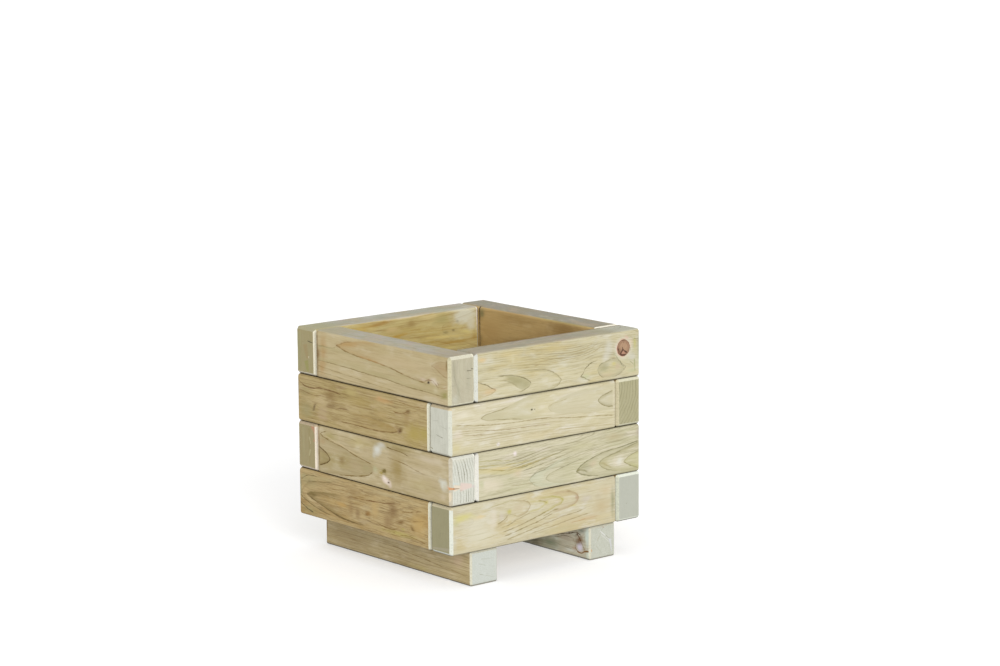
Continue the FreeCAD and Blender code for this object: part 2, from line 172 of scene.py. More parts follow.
def timber(name, long, wide, tall, arris, bevel, seed, step=2.6, wear=1.0):
    """Vertices (a, b, c) from 0 to (long, wide, tall) and faces of a planed
    timber with softened arrises, bevelled ends and slightly uneven faces, all
    of it inside the nominal box."""
    stations = []
    if bevel:
        stations += [(0.0, bevel), (bevel * 0.5, bevel * 0.5)]
        lo, hi = bevel, long - bevel
    else:
        stations += [(0.0, 0.6)]
        lo, hi = 0.6, long - 0.6
    n = int(round((hi - lo) / step))
    stations += [(lo + (hi - lo) * k / n, 0.0) for k in range(n + 1)]
    if bevel:
        stations += [(long - bevel * 0.5, bevel * 0.5), (long, bevel)]
    else:
        stations += [(long, 0.6)]
    rings = []
    us = np.array([s[0] for s in stations])
    radii = [
        np.clip(arris + 0.55 * wear * line_noise(us / 55.0 + 3.1 * k, seed + k), arris * 0.7, arris * 1.25)
        for k in range(4)
    ]
    for i, (u, inset) in enumerate(stations):
        loop, nrm = section_loop(wide, tall, [r[i] for r in radii], min(inset, 1e9), step=step)
        rings.append(np.c_[np.full(len(loop), u), loop])
        count = len(loop)
    # inner loops of the two end faces
    caps = []
    m = max(3, int(round(min(wide, tall) / 2 / step)))
    for end, ring in ((0, rings[0]), (1, rings[-1])):
        centre = np.array([wide / 2, tall / 2])
        loops = []
        for k in range(1, m):
            t = 1 - k / m
            loop = ring.copy()
            loop[:, 1:] = centre + (ring[:, 1:] - centre) * t
            loops.append(loop)
        caps.append((loops, np.array([ring[0, 0], *centre])))
    verts = list(rings)
    faces = []
    for i in range(len(rings) - 1):
        a, b = i * count, (i + 1) * count
        for j in range(count):
            k = (j + 1) % count
            faces.append((a + j, a + k, b + k, b + j))
    total = len(rings) * count
    for end, (loops, mid) in enumerate(caps):
        prev = 0 if end == 0 else (len(rings) - 1) * count
        for loop in loops:
            verts.append(loop)
            for j in range(count):
                k = (j + 1) % count
                f = (prev + j, total + j, total + k, prev + k)
                faces.append(f if end == 0 else f[::-1])
            prev = total
            total += count
        verts.append(mid[None, :])
        for j in range(count):
            k = (j + 1) % count
            f = (prev + j, total, prev + k)
            faces.append(f if end == 0 else f[::-1])
        total += 1
    v = np.vstack(verts)
    # Uneven faces: always inwards, fading out at nothing, so that the timber
    # never grows past its nominal size.
    centre = np.array([long / 2, wide / 2, tall / 2])
    half = centre
    rel = (v - centre) / half
    out = np.zeros_like(v)
    for axis in (1, 2):
        near = np.clip((np.abs(rel[:, axis]) - 0.8) / 0.2, 0, 1)
        q = v / np.array([70.0, 24.0, 24.0]) + 11.0 * axis
        d = 0.16 + 0.14 * fbm(q, seed + 5 * axis, 2)
        out[:, axis] -= np.sign(rel[:, axis]) * near * np.clip(d, 0.02, 0.4) * wear
    near = np.clip((np.abs(rel[:, 0]) - 0.97) / 0.03, 0, 1)
    d = 0.18 + 0.16 * fbm(v / np.array([50.0, 12.0, 12.0]), seed + 41, 3)
    out[:, 0] -= np.sign(rel[:, 0]) * near * np.clip(d, 0.0, 0.5) * wear
    v = v + out
    # A few small bruises along the arrises.
    rng = np.random.RandomState(seed * 7 + 3)
    for _ in range(int(7 * wear)):
        u = rng.uniform(8, long - 8)
        b = rng.choice([0.0, wide])
        c = rng.choice([0.0, tall])
        spot = np.array([u, b, c])
        size = np.array([rng.uniform(2.5, 6.0), 3.2, 3.2])
        g = np.exp(-(((v - spot) / size) ** 2).sum(1))
        pull = (centre[1:] - spot[1:]) / np.linalg.norm(centre[1:] - spot[1:])
        v[:, 1:] += pull * (g * rng.uniform(0.2, 0.75))[:, None]
    return v, faces


def lathe(name, profile, places, sides=28):
    """One mesh of closed turned solids: profile is (radius, height) from the
    bottom up, beginning and ending on the axis; places are (x, y, z) in mm."""
    verts, faces = [], []
    for px, py, pz in places:
        start = len(verts)
        rows = []
        for r, h in profile:
            if r == 0:
                rows.append([len(verts)])
                verts.append((px, py, pz + h))
            else:
                row = []
                for k in range(sides):
                    a = 2 * math.pi * k / sides
                    row.append(len(verts))
                    verts.append((px + r * math.cos(a), py + r * math.sin(a), pz + h))
                rows.append(row)
        for low, high in zip(rows, rows[1:]):
            for k in range(sides):
                n = (k + 1) % sides
                if len(low) == 1:
                    faces.append((low[0], high[n], high[k]))
                elif len(high) == 1:
                    faces.append((low[k], low[n], high[0]))
                else:
                    faces.append((low[k], low[n], high[n], high[k]))
    me = bpy.data.meshes.new(name)
    me.from_pydata([tuple(c * 0.001 for c in v) for v in verts], [], faces)
    me.update()
    ob = bpy.data.objects.new(name, me)
    bpy.context.scene.collection.objects.link(ob)
    return ob


def carve(ob, cutters):
    """Cuts the cutters out of ob for good and removes them."""
    for c in cutters:
        mod = ob.modifiers.new("cut", "BOOLEAN")
        mod.operation = "DIFFERENCE"
        mod.solver = "EXACT"
        mod.object = c
    deps = bpy.context.evaluated_depsgraph_get()
    me = bpy.data.meshes.new_from_object(ob.evaluated_get(deps))
    old = ob.data
    ob.modifiers.clear()
    ob.data = me
    bpy.data.meshes.remove(old)
    for c in cutters:
        data = c.data
        bpy.data.objects.remove(c)
        bpy.data.meshes.remove(data)


# ---------------------------------------------------------------- growth rings
def ring_field(g, spec):
    """Growth-ring number at timber coordinates g (u, p, q in mm). core is the
    ring number along the crest line p0(u) of the outside face, so a ring's
    peak shows wherever core passes a whole number. The pith lies depth mm
    behind that line. Knots, bumps and slow waviness push the rings about."""
    u, p, q = g[:, 0], g[:, 1], g[:, 2]
    seed = spec["seed"]
    p0 = curve_through(spec["crest"], u)
    depth = spec.get("depth", 50.0)
    amp = spec.get("wave", 1.0)
    dp = 1.3 * amp * perlin(np.c_[u / 110.0, p / 34.0, q / 34.0], seed)
    dp += 0.55 * amp * perlin(np.c_[u / 36.0, p / 14.0, q / 16.0], seed + 1)
    dq = 0.8 * amp * perlin(np.c_[u / 90.0, p / 30.0, q / 34.0] + 7.7, seed + 2)
    dq += 0.2 * amp * perlin(np.c_[u / 22.0, p / 9.0, q / 12.0], seed + 3)
    side = p - p0 + dp
    side = side * np.where(side > 0, spec.get("up", 1.0), spec.get("down", 1.0))
    r = np.hypot(side, depth - q + dq) - depth
    for k in spec.get("knots", ()):
        # rings swell outwards round the branch
        du, dv = u - k["u"], p - k["p"]
        d2 = (du / (k["r"] * k.get("flow_u", 2.1))) ** 2 + (dv / (k["r"] * k.get("flow_p", 1.35))) ** 2
        deep = np.exp(-((q - k.get("q", 0.0)) / k.get("reach", 30.0)) ** 2)
        r = r + k.get("swell", 6.0) * np.exp(-d2) * deep
    ring = r / spec["spacing"] + curve_through(spec["core"], u)
    for b in spec.get("bumps", ()):
        # (u, p, radius along, radius up, rings, turn in degrees, depth)
        bu, bp, ru, rp, h = b[:5]
        turn = math.radians(b[5]) if len(b) > 5 else 0.0
        reach = b[6] if len(b) > 6 else 22.0
        du, dv = u - bu, p - bp
        cu = du * math.cos(turn) + dv * math.sin(turn)
        cv = -du * math.sin(turn) + dv * math.cos(turn)
        ring = ring + h * np.exp(-((cu / ru) ** 2) - (cv / rp) ** 2 - (q / reach) ** 2)
    return ring


def end_rings(g, u_end, ring, slope, spec):
    """Ring numbers for the sawn end at u_end, about a pith at (q, p)."""
    q0, p0, spacing = spec["end_rings"]
    on = np.abs(g[:, 0] - u_end) < 1.2
    dq = 1.6 * perlin(g / 16.0, spec["seed"] + 71)
    r = np.hypot(g[:, 2] - q0 + dq, g[:, 1] - p0)
    return np.where(on, r / spacing, ring), np.where(on, 1.0 / spacing, slope)


def power_field(g, spec):
    """How strongly the growth rings show: 1 is plain, patches change it."""
    u, p, q = g[:, 0], g[:, 1], g[:, 2]
    out = np.full(len(g), float(spec.get("power", 1.0)))
    for su, sp, ru, rp, gain, *rest in spec.get("powers", ()):
        turn = math.radians(rest[0]) if rest else 0.0
        du, dv = u - su, p - sp
        cu = du * math.cos(turn) + dv * math.sin(turn)
        cv = -du * math.sin(turn) + dv * math.cos(turn)
        m = np.exp(-((cu / ru) ** 2 + (cv / rp) ** 2) ** 1.5 - (q / 20.0) ** 2)
        out = out * (1 + (gain - 1) * m)
    return out


def ring_slope(g, n, ring, spec):
    """Rings per millimetre along the surface whose normal is n."""
    grad = np.zeros_like(g)
    for k in range(3):
        h = g.copy()
        h[:, k] += 0.5
        grad[:, k] = (ring_field(h, spec) - ring) / 0.5
    grad -= (grad * n).sum(1)[:, None] * n
    return np.clip(np.linalg.norm(grad, axis=1), 0.012, 2.0)


def paint_field(g, spec):
    """Soft stains, and painted shade where a stain stands in for a shadow: colour and strength at timber coordinates g.
    """
    u, p, q = g[:, 0], g[:, 1], g[:, 2]
    colour = np.zeros((len(g), 4))
    colour[:, :3] = srgb(190, 175, 130)
    alpha = np.zeros(len(g))
    for k, s in enumerate(spec.get("stains_and_shades", ())):
        su, sp, ru, rp, rgb, strength = s[:6]
        turn = math.radians(s[6]) if len(s) > 6 else 0.0
        reach = s[7] if len(s) > 7 else 8.0
        where = s[8] if len(s) > 8 else 0.0
        du, dv = u - su, p - sp
        cu = du * math.cos(turn) + dv * math.sin(turn)
        cv = -du * math.sin(turn) + dv * math.cos(turn)
        d = np.sqrt((cu / ru) ** 2 + (cv / rp) ** 2 + ((q - where) / reach) ** 2)
        d = d * (1 + 0.35 * perlin(np.c_[u / 9.0, p / 5.0, q / 5.0], spec["seed"] + 60 + k))
        m = np.clip(1 - d, 0, 1)
        m = m * m * (3 - 2 * m) * strength
        colour[:, :3] += (np.array(srgb(*rgb)) - colour[:, :3]) * (
            m / np.maximum(m + alpha, 1e-6)
        )[:, None]
        alpha = alpha + m * (1 - alpha)
    colour[:, 3] = np.clip(alpha, 0, 1)
    return colour


# ---------------------------------------------------------------------- shader
class Graph:
    def __init__(self, name):
        self.mat = bpy.data.materials.new(name)
        self.mat.use_nodes = True
        self.nt = self.mat.node_tree
        self.nt.nodes.clear()
        self.out = self.add("ShaderNodeOutputMaterial")
        self.bsdf = self.add("ShaderNodeBsdfPrincipled")
        self.link(self.bsdf.outputs["BSDF"], self.out.inputs["Surface"])

    def add(self, kind, **props):
        n = self.nt.nodes.new(kind)
        for k, v in props.items():
            setattr(n, k, v)
        return n

    def link(self, a, b):
        self.nt.links.new(a, b)

    def put(self, socket, v):
        if hasattr(v, "is_linked") or hasattr(v, "links"):
            self.link(v, socket)
        elif isinstance(v, (tuple, list)):
            if len(v) == 3 and len(socket.default_value) == 4:
                v = (*v, 1.0)
            socket.default_value = v
        else:
            socket.default_value = v

    def math(self, op, a, b=None, c=None, clamp=False):
        n = self.add("ShaderNodeMath", operation=op, use_clamp=clamp)
        self.put(n.inputs[0], a)
        if b is not None:
            self.put(n.inputs[1], b)
        if c is not None:
            self.put(n.inputs[2], c)
        return n.outputs[0]

    def vec(self, op, a, b=None):
        n = self.add("ShaderNodeVectorMath", operation=op)
        self.put(n.inputs[0], a)
        if b is not None:
            self.put(n.inputs[1], b)
        return n.outputs["Value" if op in ("LENGTH", "DOT_PRODUCT", "DISTANCE") else "Vector"]

    def step(self, v, lo, hi, a=0.0, b=1.0, kind="SMOOTHSTEP"):
        n = self.add("ShaderNodeMapRange", interpolation_type=kind)
        self.put(n.inputs["Value"], v)
        self.put(n.inputs["From Min"], lo)
        self.put(n.inputs["From Max"], hi)
        self.put(n.inputs["To Min"], a)
        self.put(n.inputs["To Max"], b)
        return n.outputs["Result"]

    def mix(self, fac, a, b, blend="MIX"):
        n = self.add("ShaderNodeMix", data_type="RGBA", blend_type=blend)
        n.clamp_factor = True
        self.put(n.inputs[0], fac)
        self.put(n.inputs[6], a)
        self.put(n.inputs[7], b)
        return n.outputs[2]

    def noise(self, vector, scale=1.0, detail=2.0, rough=0.5, distort=0.0):
        n = self.add("ShaderNodeTexNoise", noise_dimensions="3D")
        self.put(n.inputs["Vector"], vector)
        n.inputs["Scale"].default_value = scale
        n.inputs["Detail"].default_value = detail
        n.inputs["Roughness"].default_value = rough
        n.inputs["Distortion"].default_value = distort
        return n.outputs["Fac"]

    def scaled(self, vector, x, y, z, shift=0.0):
        n = self.add("ShaderNodeVectorMath", operation="MULTIPLY_ADD")
        self.put(n.inputs[0], vector)
        n.inputs[1].default_value = (x, y, z)
        n.inputs[2].default_value = (shift, shift * 1.7, shift * 0.6)
        return n.outputs["Vector"]

    def attribute(self, name, out="Fac"):
        n = self.add("ShaderNodeAttribute", attribute_name=name, attribute_type="GEOMETRY")
        return n.outputs[out]

    def centred(self, v, amount):
        """(v - 0.5) * amount"""
        return self.math("MULTIPLY", self.math("SUBTRACT", v, 0.5), amount)

    def brighter(self, colour, factor):
        n = self.add("ShaderNodeVectorMath", operation="SCALE")
        self.put(n.inputs[0], colour)
        self.put(n.inputs[3], factor)
        return n.outputs["Vector"]

    def traced(self, x, points):
        """Smooth curve y(x) in mm through a few control points."""
        lo, hi = points[0][0], points[-1][0]
        n = self.add("ShaderNodeFloatCurve")
        self.put(n.inputs["Value"], self.step(x, lo, hi, 0.0, 1.0, "LINEAR"))
        curve = n.mapping.curves[0]
        where = [((a - lo) / (hi - lo), b / 68.0) for a, b in points]
        curve.points[0].location = where[0]
        curve.points[1].location = where[-1]
        for w in where[1:-1]:
            curve.points.new(*w)
        for q in curve.points:
            q.handle_type = "AUTO_CLAMPED"
        n.mapping.update()
        return self.math("MULTIPLY", n.outputs["Value"], 68.0)


def stroke(g, x, y, x1, y1, x2, y2, wide, taper=1.0, soft=0.5):
    """A thin tapering mark from (x1, y1) to (x2, y2), in mm."""
    dx, dy = x2 - x1, y2 - y1
    n = math.hypot(dx, dy)
    dx, dy = dx / n, dy / n
    rx, ry = g.math("SUBTRACT", x, x1), g.math("SUBTRACT", y, y1)
    along = g.math("ADD", g.math("MULTIPLY", rx, dx), g.math("MULTIPLY", ry, dy))
    off = g.math("ABSOLUTE", g.math("SUBTRACT", g.math("MULTIPLY", ry, dx), g.math("MULTIPLY", rx, dy)))
    edge = g.step(along, 0.0, n, wide, wide * (1 - taper) + 0.05, "LINEAR")
    m = g.step(g.math("DIVIDE", off, edge), soft, 1.0, 1.0, 0.0)
    m = g.math("MULTIPLY", m, g.step(along, -0.2, 0.2))
    return g.math("MULTIPLY", m, g.step(along, n - 0.2, n + 0.2, 1.0, 0.0))


def wood_material(name, spec, part):
    """part is face, end or bevel."""
    g = Graph(name)
    look = spec
    seed = spec["seed"] * 3.17
    grain = g.attribute("grain", "Vector")
    ring = g.attribute("ring")
    slope = g.attribute("slope")
    sep = g.add("ShaderNodeSeparateXYZ")
    g.link(grain, sep.inputs[0])
    U, P, Q = sep.outputs
    rip = look.get("ripple", 1.0)
    # growth rings: a soft darkening that ends in a thin line of even width
    w1 = g.noise(g.scaled(grain, 0.03, 0.13, 0.13, seed), 1.0, 3.0, 0.55)
    w2 = g.noise(g.scaled(grain, 0.10, 0.55, 0.55, seed + 5), 1.0, 2.0, 0.5)
    wavy = g.math("ADD", g.centred(w1, 2.2 * rip), g.centred(w2, 0.9 * rip))
    rr = g.math("MULTIPLY_ADD", wavy, slope, ring)
    whole = g.math("ROUND", rr)
    wn = g.add("ShaderNodeTexWhiteNoise", noise_dimensions="1D")
    g.put(wn.inputs["W"], g.math("ADD", whole, seed))
    on_end = "end_" if part == "end" else ""
    strength = g.step(wn.outputs["Value"], 0.0, 1.0, look.get(on_end + "faint", 0.4), 1.0, "LINEAR")
    before = g.math("DIVIDE", g.math("SUBTRACT", whole, rr), slope)
    line = g.math("MULTIPLY", g.step(before, -0.5, 0.0), g.step(before, 0.3, look.get("line_mm", 1.6), 1.0, 0.0))
    fill = g.math("POWER", g.step(g.math("FRACT", rr), 0.35, 1.0), 1.5)
    late = g.math("ADD", g.math("MULTIPLY", fill, look.get("fill", 0.42)), g.math("MULTIPLY", line, look.get("line", 0.62)))
    late = g.math("MULTIPLY", late, strength)
    r2 = g.math("MULTIPLY_ADD", rr, 2.0, 0.3)
    before2 = g.math("DIVIDE", g.math("SUBTRACT", g.math("ROUND", r2), r2), g.math("MULTIPLY", slope, 2.0))
    thin = g.math("MULTIPLY", g.step(before2, -0.4, 0.0), g.step(before2, 0.2, 1.1, 1.0, 0.0))
    late = g.math("MAXIMUM", late, g.math("MULTIPLY", thin, look.get(on_end + "sub", 0.3)))
    fade = g.noise(g.scaled(grain, 0.016, 0.06, 0.06, seed + 9), 1.0, 3.0, 0.55)
    late = g.math("MULTIPLY", late, g.step(fade, 0.34, 0.62, look.get(on_end + "fade", 0.45), 1.0), clamp=True)
    if part != "end":
        late = g.math("MULTIPLY", late, g.attribute("power"), clamp=True)
    fibre = g.noise(g.scaled(grain, 0.030, 1.1, 1.1, seed + 2), 1.0, 4.0, 0.62)
    streak = g.noise(g.scaled(grain, 0.016, 0.42, 0.42, seed + 6), 1.0, 3.0, 0.6)
    fine = g.noise(g.scaled(grain, 0.12, 4.5, 4.5, seed + 3), 1.0, 3.0, 0.6)
    cloud = g.noise(g.scaled(grain, 0.011, 0.035, 0.035, seed + 4), 1.0, 3.0, 0.55)
    cloud2 = g.noise(g.scaled(grain, 0.026, 0.07, 0.05, seed + 12), 1.0, 3.0, 0.55)
    if part == "face":
        early, dark = srgb(*look["early"]), srgb(*look["late"])
        colour = g.mix(g.step(cloud, 0.44, 0.66, 0.0, look.get("tone_amount", 0.6)), early, srgb(*look["tone"]))
        colour = g.mix(g.step(cloud2, 0.50, 0.72, 0.0, look.get("pale_amount", 0.55)), colour, srgb(*look["pale"]))
        many = look.get("fibre", 1.0)
        colour = g.mix(g.step(streak, 0.50, 0.72, 0.0, 0.34 * many), colour, dark)
        colour = g.mix(g.step(streak, 0.30, 0.50, 0.34 * many, 0.0), colour, srgb(*look["pale"]))
        colour = g.mix(g.step(fibre, 0.48, 0.74, 0.0, 0.26 * many), colour, dark)
        colour = g.mix(g.step(fibre, 0.28, 0.46, 0.24 * many, 0.0), colour, srgb(*look["pale"]))
        colour = g.mix(g.math("MULTIPLY", late, look.get("contrast", 0.8)), colour, dark)
        dash = g.noise(g.scaled(grain, 0.055, 1.25, 1.25, seed + 7), 1.0, 2.0, 0.55)
        colour = g.mix(g.step(dash, 0.56, 0.74, 0.0, look.get("dash", 0.4)), colour, dark)
        colour = g.mix(g.step(dash, 0.27, 0.42, 0.8 * look.get("dash", 0.4), 0.0), colour, srgb(*look["pale"]))
    elif part == "end":
        base, dark = look.get("end_early", (196, 192, 172)), look.get("end_late", (150, 145, 112))
        speck = g.noise(g.scaled(grain, 0.4, 0.7, 0.7, seed + 8), 1.0, 4.0, 0.65)
        smear = g.noise(g.scaled(grain, 0.2, 0.06, 0.30, seed + 14), 1.0, 3.0, 0.6)
        colour = g.mix(g.step(smear, 0.40, 0.66, 0.0, 0.45), srgb(*base), srgb(*look.get("end_tone", dark)))
        colour = g.mix(g.math("MULTIPLY", late, look.get("end_contrast", 0.5)), colour, srgb(*dark))
        much = look.get("end_speck", 0.30)
        colour = g.mix(g.step(speck, 0.50, 0.78, 0.0, much), colour, srgb(*dark))
        colour = g.mix(g.step(speck, 0.24, 0.44, much, 0.0), colour, srgb(*look.get("end_pale", (222, 220, 205))))
    else:
        base, dark = look.get("bevel", (228, 226, 206)), look.get("bevel_late", (190, 182, 146))
        speck = g.noise(g.scaled(grain, 0.35, 0.35, 0.35, seed + 8), 1.0, 4.0, 0.65)
        colour = g.mix(g.math("MULTIPLY", late, 0.35), srgb(*base), srgb(*dark))
        colour = g.mix(g.step(speck, 0.50, 0.72, 0.0, 0.7), colour, srgb(*dark))
        for where, rgb in look.get("edges", ()):
            v, lo, hi = {"outer": (Q, 4.6, 3.6), "inner": (Q, 40.4, 41.4), "top": (P, 63.2, 64.4), "far": (U, 112.0, 114.0), "low": (P, 4.6, 3.6)}[where]
            m = g.step(v, lo, hi) if lo < hi else g.step(v, hi, lo, 1.0, 0.0)
            tint = g.mix(g.step(speck, 0.42, 0.66, 0.0, 0.55), srgb(*rgb), srgb(*(int(c * 0.86) for c in rgb)))
            colour = g.mix(m, colour, tint)
    # stains, and painted shade where a stain stands in for a shadow
    amount = g.math("MULTIPLY", g.attribute("stain_and_shade", "Alpha"), g.step(fibre, 0.25, 0.65, 0.78, 1.0), clamp=True)
    if part != "bevel":
        under = g.mix(g.math("MULTIPLY", late, 0.45 * look.get("contrast", 0.8)), g.attribute("stain_and_shade", "Color"), srgb(*look["late"]))
        colour = g.mix(amount, colour, under)
    # single growth lines that stand out: points, width, colour, strength and how
    # far they fade in and out
    if part == "face" and look.get("lines"):
        wob = g.math("ADD", P, g.math("ADD", g.centred(w2, 2.4), g.centred(w1, 1.6)))
        broken = g.step(g.noise(g.scaled(grain, 0.06, 0.10, 0.10, seed + 40), 1.0, 2.0, 0.5), 0.34, 0.58, 0.45, 1.0)
        skin = g.step(Q, 2.5, 5.0, 1.0, 0.0)
        for upper, lower, rgb, edge, inside, fall, *fades in look.get("zones", ()):
            # between two growth lines, strongest along them
            f0, f1 = fades or (1.0, 8.0)
            near = g.math("MINIMUM", g.math("SUBTRACT", g.traced(U, upper), wob), g.math("SUBTRACT", wob, g.traced(U, lower)))
            m = g.math("MULTIPLY", g.step(near, 0.0, fall, edge, inside), g.step(near, -0.5, 0.4))
            m = g.math("MULTIPLY", m, g.step(U, max(upper[0][0], lower[0][0]) - 0.3, max(upper[0][0], lower[0][0]) + f0))
            last = min(upper[-1][0], lower[-1][0])
            m = g.math("MULTIPLY", m, g.step(U, last - f1, last + 0.3, 1.0, 0.0))
            colour = g.mix(g.math("MULTIPLY", m, skin), colour, srgb(*rgb))
        for points, wide, rgb, much, *fades in look["lines"]:
            f0, f1 = (list(fades) + [9.0, 9.0])[:2] if len(fades) < 2 else fades[:2]
            off = g.math("ABSOLUTE", g.math("SUBTRACT", wob, g.traced(U, points)))
            m = g.step(off, wide * 0.22, wide * 0.5 + 0.25, 1.0, 0.0)
            m = g.math("MULTIPLY", m, g.step(U, points[0][0] - 0.3, points[0][0] + f0))
            m = g.math("MULTIPLY", m, g.step(U, points[-1][0] - f1, points[-1][0] + 0.3, 1.0, 0.0))
            m = g.math("MULTIPLY", g.math("MULTIPLY", m, broken), g.math("MULTIPLY", skin, min(1.0, 1.2 * much)))
            colour = g.mix(m, colour, srgb(*rgb))
    if part == "face" and look.get("punch"):
        # more contrast about the middle tone
        k = look["punch"]
        mid = [0.5 * (a + b) for a, b in zip(srgb(*look["early"]), srgb(*look["tone"]))]
        n = g.add("ShaderNodeVectorMath", operation="MULTIPLY_ADD")
        g.put(n.inputs[0], colour)
        n.inputs[1].default_value = (k, k, k)
        n.inputs[2].default_value = tuple(c * (1 - k) for c in mid)
        colour = g.vec("MAXIMUM", n.outputs["Vector"], (0.035, 0.028, 0.015))
    if part == "face" and look.get("halves"):
        # the outer and the inner half of the timber differ in tone
        for ratio, a, b in zip(look["halves"], (1.0, 0.0), (0.0, 1.0)):
            if ratio:
                colour = g.mix(g.step(Q, 20.0, 28.0, a, b), colour, ratio, "MULTIPLY")
    height = g.math("ADD", g.math("MULTIPLY", fibre, 0.6), g.math("MULTIPLY", fine, 0.3))
    height = g.math("ADD", height, g.math("MULTIPLY", late, 0.3))
    # the grey top of the rim: greyer wood on the top, partly painted shade for the weaker light that falls on the top
    # faces
    if look.get("rim"):
        where = g.step(g.math("ADD", P, g.centred(fibre, 1.2)), 65.9, 67.5)
        if look.get("rim_edge"):
            where = g.math("MULTIPLY", where, g.step(g.math("ADD", Q, g.centred(fade, 4.0)), look["rim_edge"], look["rim_edge"] + 2.5, 1.0, 0.0))
        if part == "bevel":
            geo = g.add("ShaderNodeNewGeometry")
            nrm = g.add("ShaderNodeSeparateXYZ")
            g.link(geo.outputs["Normal"], nrm.inputs[0])
            where = g.step(nrm.outputs[2], 0.45, 0.65, 0.0, 0.2 if look.get("pale_top") else 1.0)
        grey = g.mix(g.step(cloud2, 0.40, 0.64), srgb(*look["rim"]), srgb(*look.get("rim_warm", (180, 168, 144))))
        tint = g.noise(g.scaled(grain, 0.030, 0.05, 0.05, seed + 50), 1.0, 2.0, 0.5)
        grey = g.mix(g.step(tint, 0.54, 0.66, 0.0, 0.6), grey, srgb(*look.get("rim_green", (170, 172, 148))))
        grey = g.mix(g.step(tint, 0.34, 0.46, 0.6, 0.0), grey, srgb(*look.get("rim_pink", (196, 180, 170))))
        patch = g.noise(g.scaled(grain, 0.045, 0.12, 0.09, seed + 53), 1.0, 3.0, 0.55)
        grey = g.mix(g.step(patch, 0.56, 0.74, 0.0, look.get("rim_fleck", 0.5)), grey, srgb(206, 203, 190))
        grey = g.mix(g.step(patch, 0.28, 0.42, 0.45, 0.0), grey, srgb(150, 142, 124))
        for u0, u1, rgb, much in look.get("rim_tints", ()):
            m = g.step(U, u0, u1, 0.0, much) if u0 < u1 else g.step(U, u1, u0, much, 0.0)
            grey = g.mix(m, grey, srgb(*rgb))
        grey = g.mix(g.math("MULTIPLY", late, 0.5), grey, srgb(140, 130, 112))
        grey = g.mix(g.step(streak, 0.50, 0.72, 0.0, 0.35), grey, srgb(146, 136, 120))
        grey = g.mix(g.step(fibre, 0.28, 0.46, 0.30, 0.0), grey, srgb(204, 200, 192))
        colour = g.mix(g.math("MULTIPLY", where, 0.92), colour, grey)
    # knots
    for k in spec.get("knots", ()):
        du = g.math("SUBTRACT", U, float(k["u"]))
        dp = g.math("SUBTRACT", P, float(k["p"]))
        du = g.math("SUBTRACT", du, g.math("MULTIPLY", Q, k.get("lean", 0.10)))
        dist = g.math("SQRT", g.math("ADD", g.math("MULTIPLY", du, du), g.math("MULTIPLY", dp, dp)))
        rough = g.noise(g.scaled(grain, 0.25, 0.25, 0.10, seed + 30), 1.0, 3.0, 0.55)
        dist = g.math("ADD", dist, g.centred(rough, 0.16 * k["r"]))
        r = float(k["r"])
        live = g.step(Q, k.get("deep", 60.0), k.get("deep", 60.0) + 3.0, 1.0, 0.0)
        # a pinkish edge, then pale wood round it
        pale = g.math("MULTIPLY", g.step(dist, r * 1.05, r * 1.75, 1.0, 0.0), live)
        colour = g.mix(g.math("MULTIPLY", pale, 0.65), colour, srgb(*k.get("halo", (222, 216, 190))))
        pink = g.math("MULTIPLY", g.step(dist, r + 0.2, r + 2.4, 1.0, 0.0), live)
        spot = g.noise(g.scaled(grain, 0.09, 0.09, 0.05, seed + 31), 1.0, 1.0, 0.5)
        colour = g.mix(g.math("MULTIPLY", pink, g.step(spot, 0.40, 0.60, 0.15, 0.85)), colour, srgb(*k.get("pink", (224, 178, 150))))
        mask = g.math("MULTIPLY", g.step(dist, r - 0.5, r + 0.4, 1.0, 0.0), live)
        kring = g.math("FRACT", g.math("ADD", g.math("DIVIDE", dist, max(0.8, r * 0.13)), g.centred(rough, 0.9)))
        body = g.mix(g.step(kring, 0.25, 0.95, 0.0, 0.45), srgb(*k.get("colour", (190, 146, 116))), srgb(*k.get("dark", (146, 98, 76))))
        mott = g.noise(g.scaled(grain, 0.30, 0.30, 0.2, seed + 32), 1.0, 3.0, 0.6)
        body = g.mix(g.step(mott, 0.45, 0.65, 0.0, 0.55), body, srgb(*k.get("second", (182, 140, 110))))
        # darker towards the lower left
        side = g.math("ADD", g.math("MULTIPLY", du, -0.55 / r), g.math("MULTIPLY", dp, -0.8 / r))
        body = g.mix(g.step(side, -0.1, 0.95, 0.0, 0.75), body, srgb(*k.get("dark", (140, 92, 70))))
        inner = g.math("MULTIPLY", g.step(dist, r * 0.60, r * 0.74), g.step(dist, r * 0.78, r * 0.86, 1.0, 0.0))
        body = g.mix(g.math("MULTIPLY", inner, 0.35), body, srgb(*k.get("rim_colour", (122, 72, 54))))
        rim = g.step(dist, r - 2.0, r - 0.5)
        body = g.mix(g.math("MULTIPLY", rim, 0.8), body, srgb(*k.get("rim_colour", (122, 72, 54))))
        ru = g.math("ADD", du, g.centred(rough, 2.0))
        wedge = g.math("MULTIPLY", stroke(g, ru, dp, -0.6, -3.4, -0.2, -9.0, 2.6, -0.5, 0.7), 0.8)
        body = g.mix(wedge, body, srgb(190, 144, 116))
        marks = None
        for m in k.get("marks", ((-1.0, -1.6, -5.2, -8.4, 1.3), (-1.0, -1.6, 5.6, -7.2, 1.2), (-1.0, -1.8, -0.6, 4.6, 1.0), (-5.0, -8.2, 5.0, -8.8, 0.8))):
            one = stroke(g, ru, dp, m[0], m[1], m[2], m[3], m[4], 0.4)
            marks = one if marks is None else g.math("MAXIMUM", marks, one)
        body = g.mix(g.math("MULTIPLY", marks, 0.9), body, srgb(*k.get("crack", (92, 52, 38))))
        colour = g.mix(mask, colour, body)
        height = g.math("SUBTRACT", height, g.math("MULTIPLY", g.math("MULTIPLY", marks, mask), 1.2))
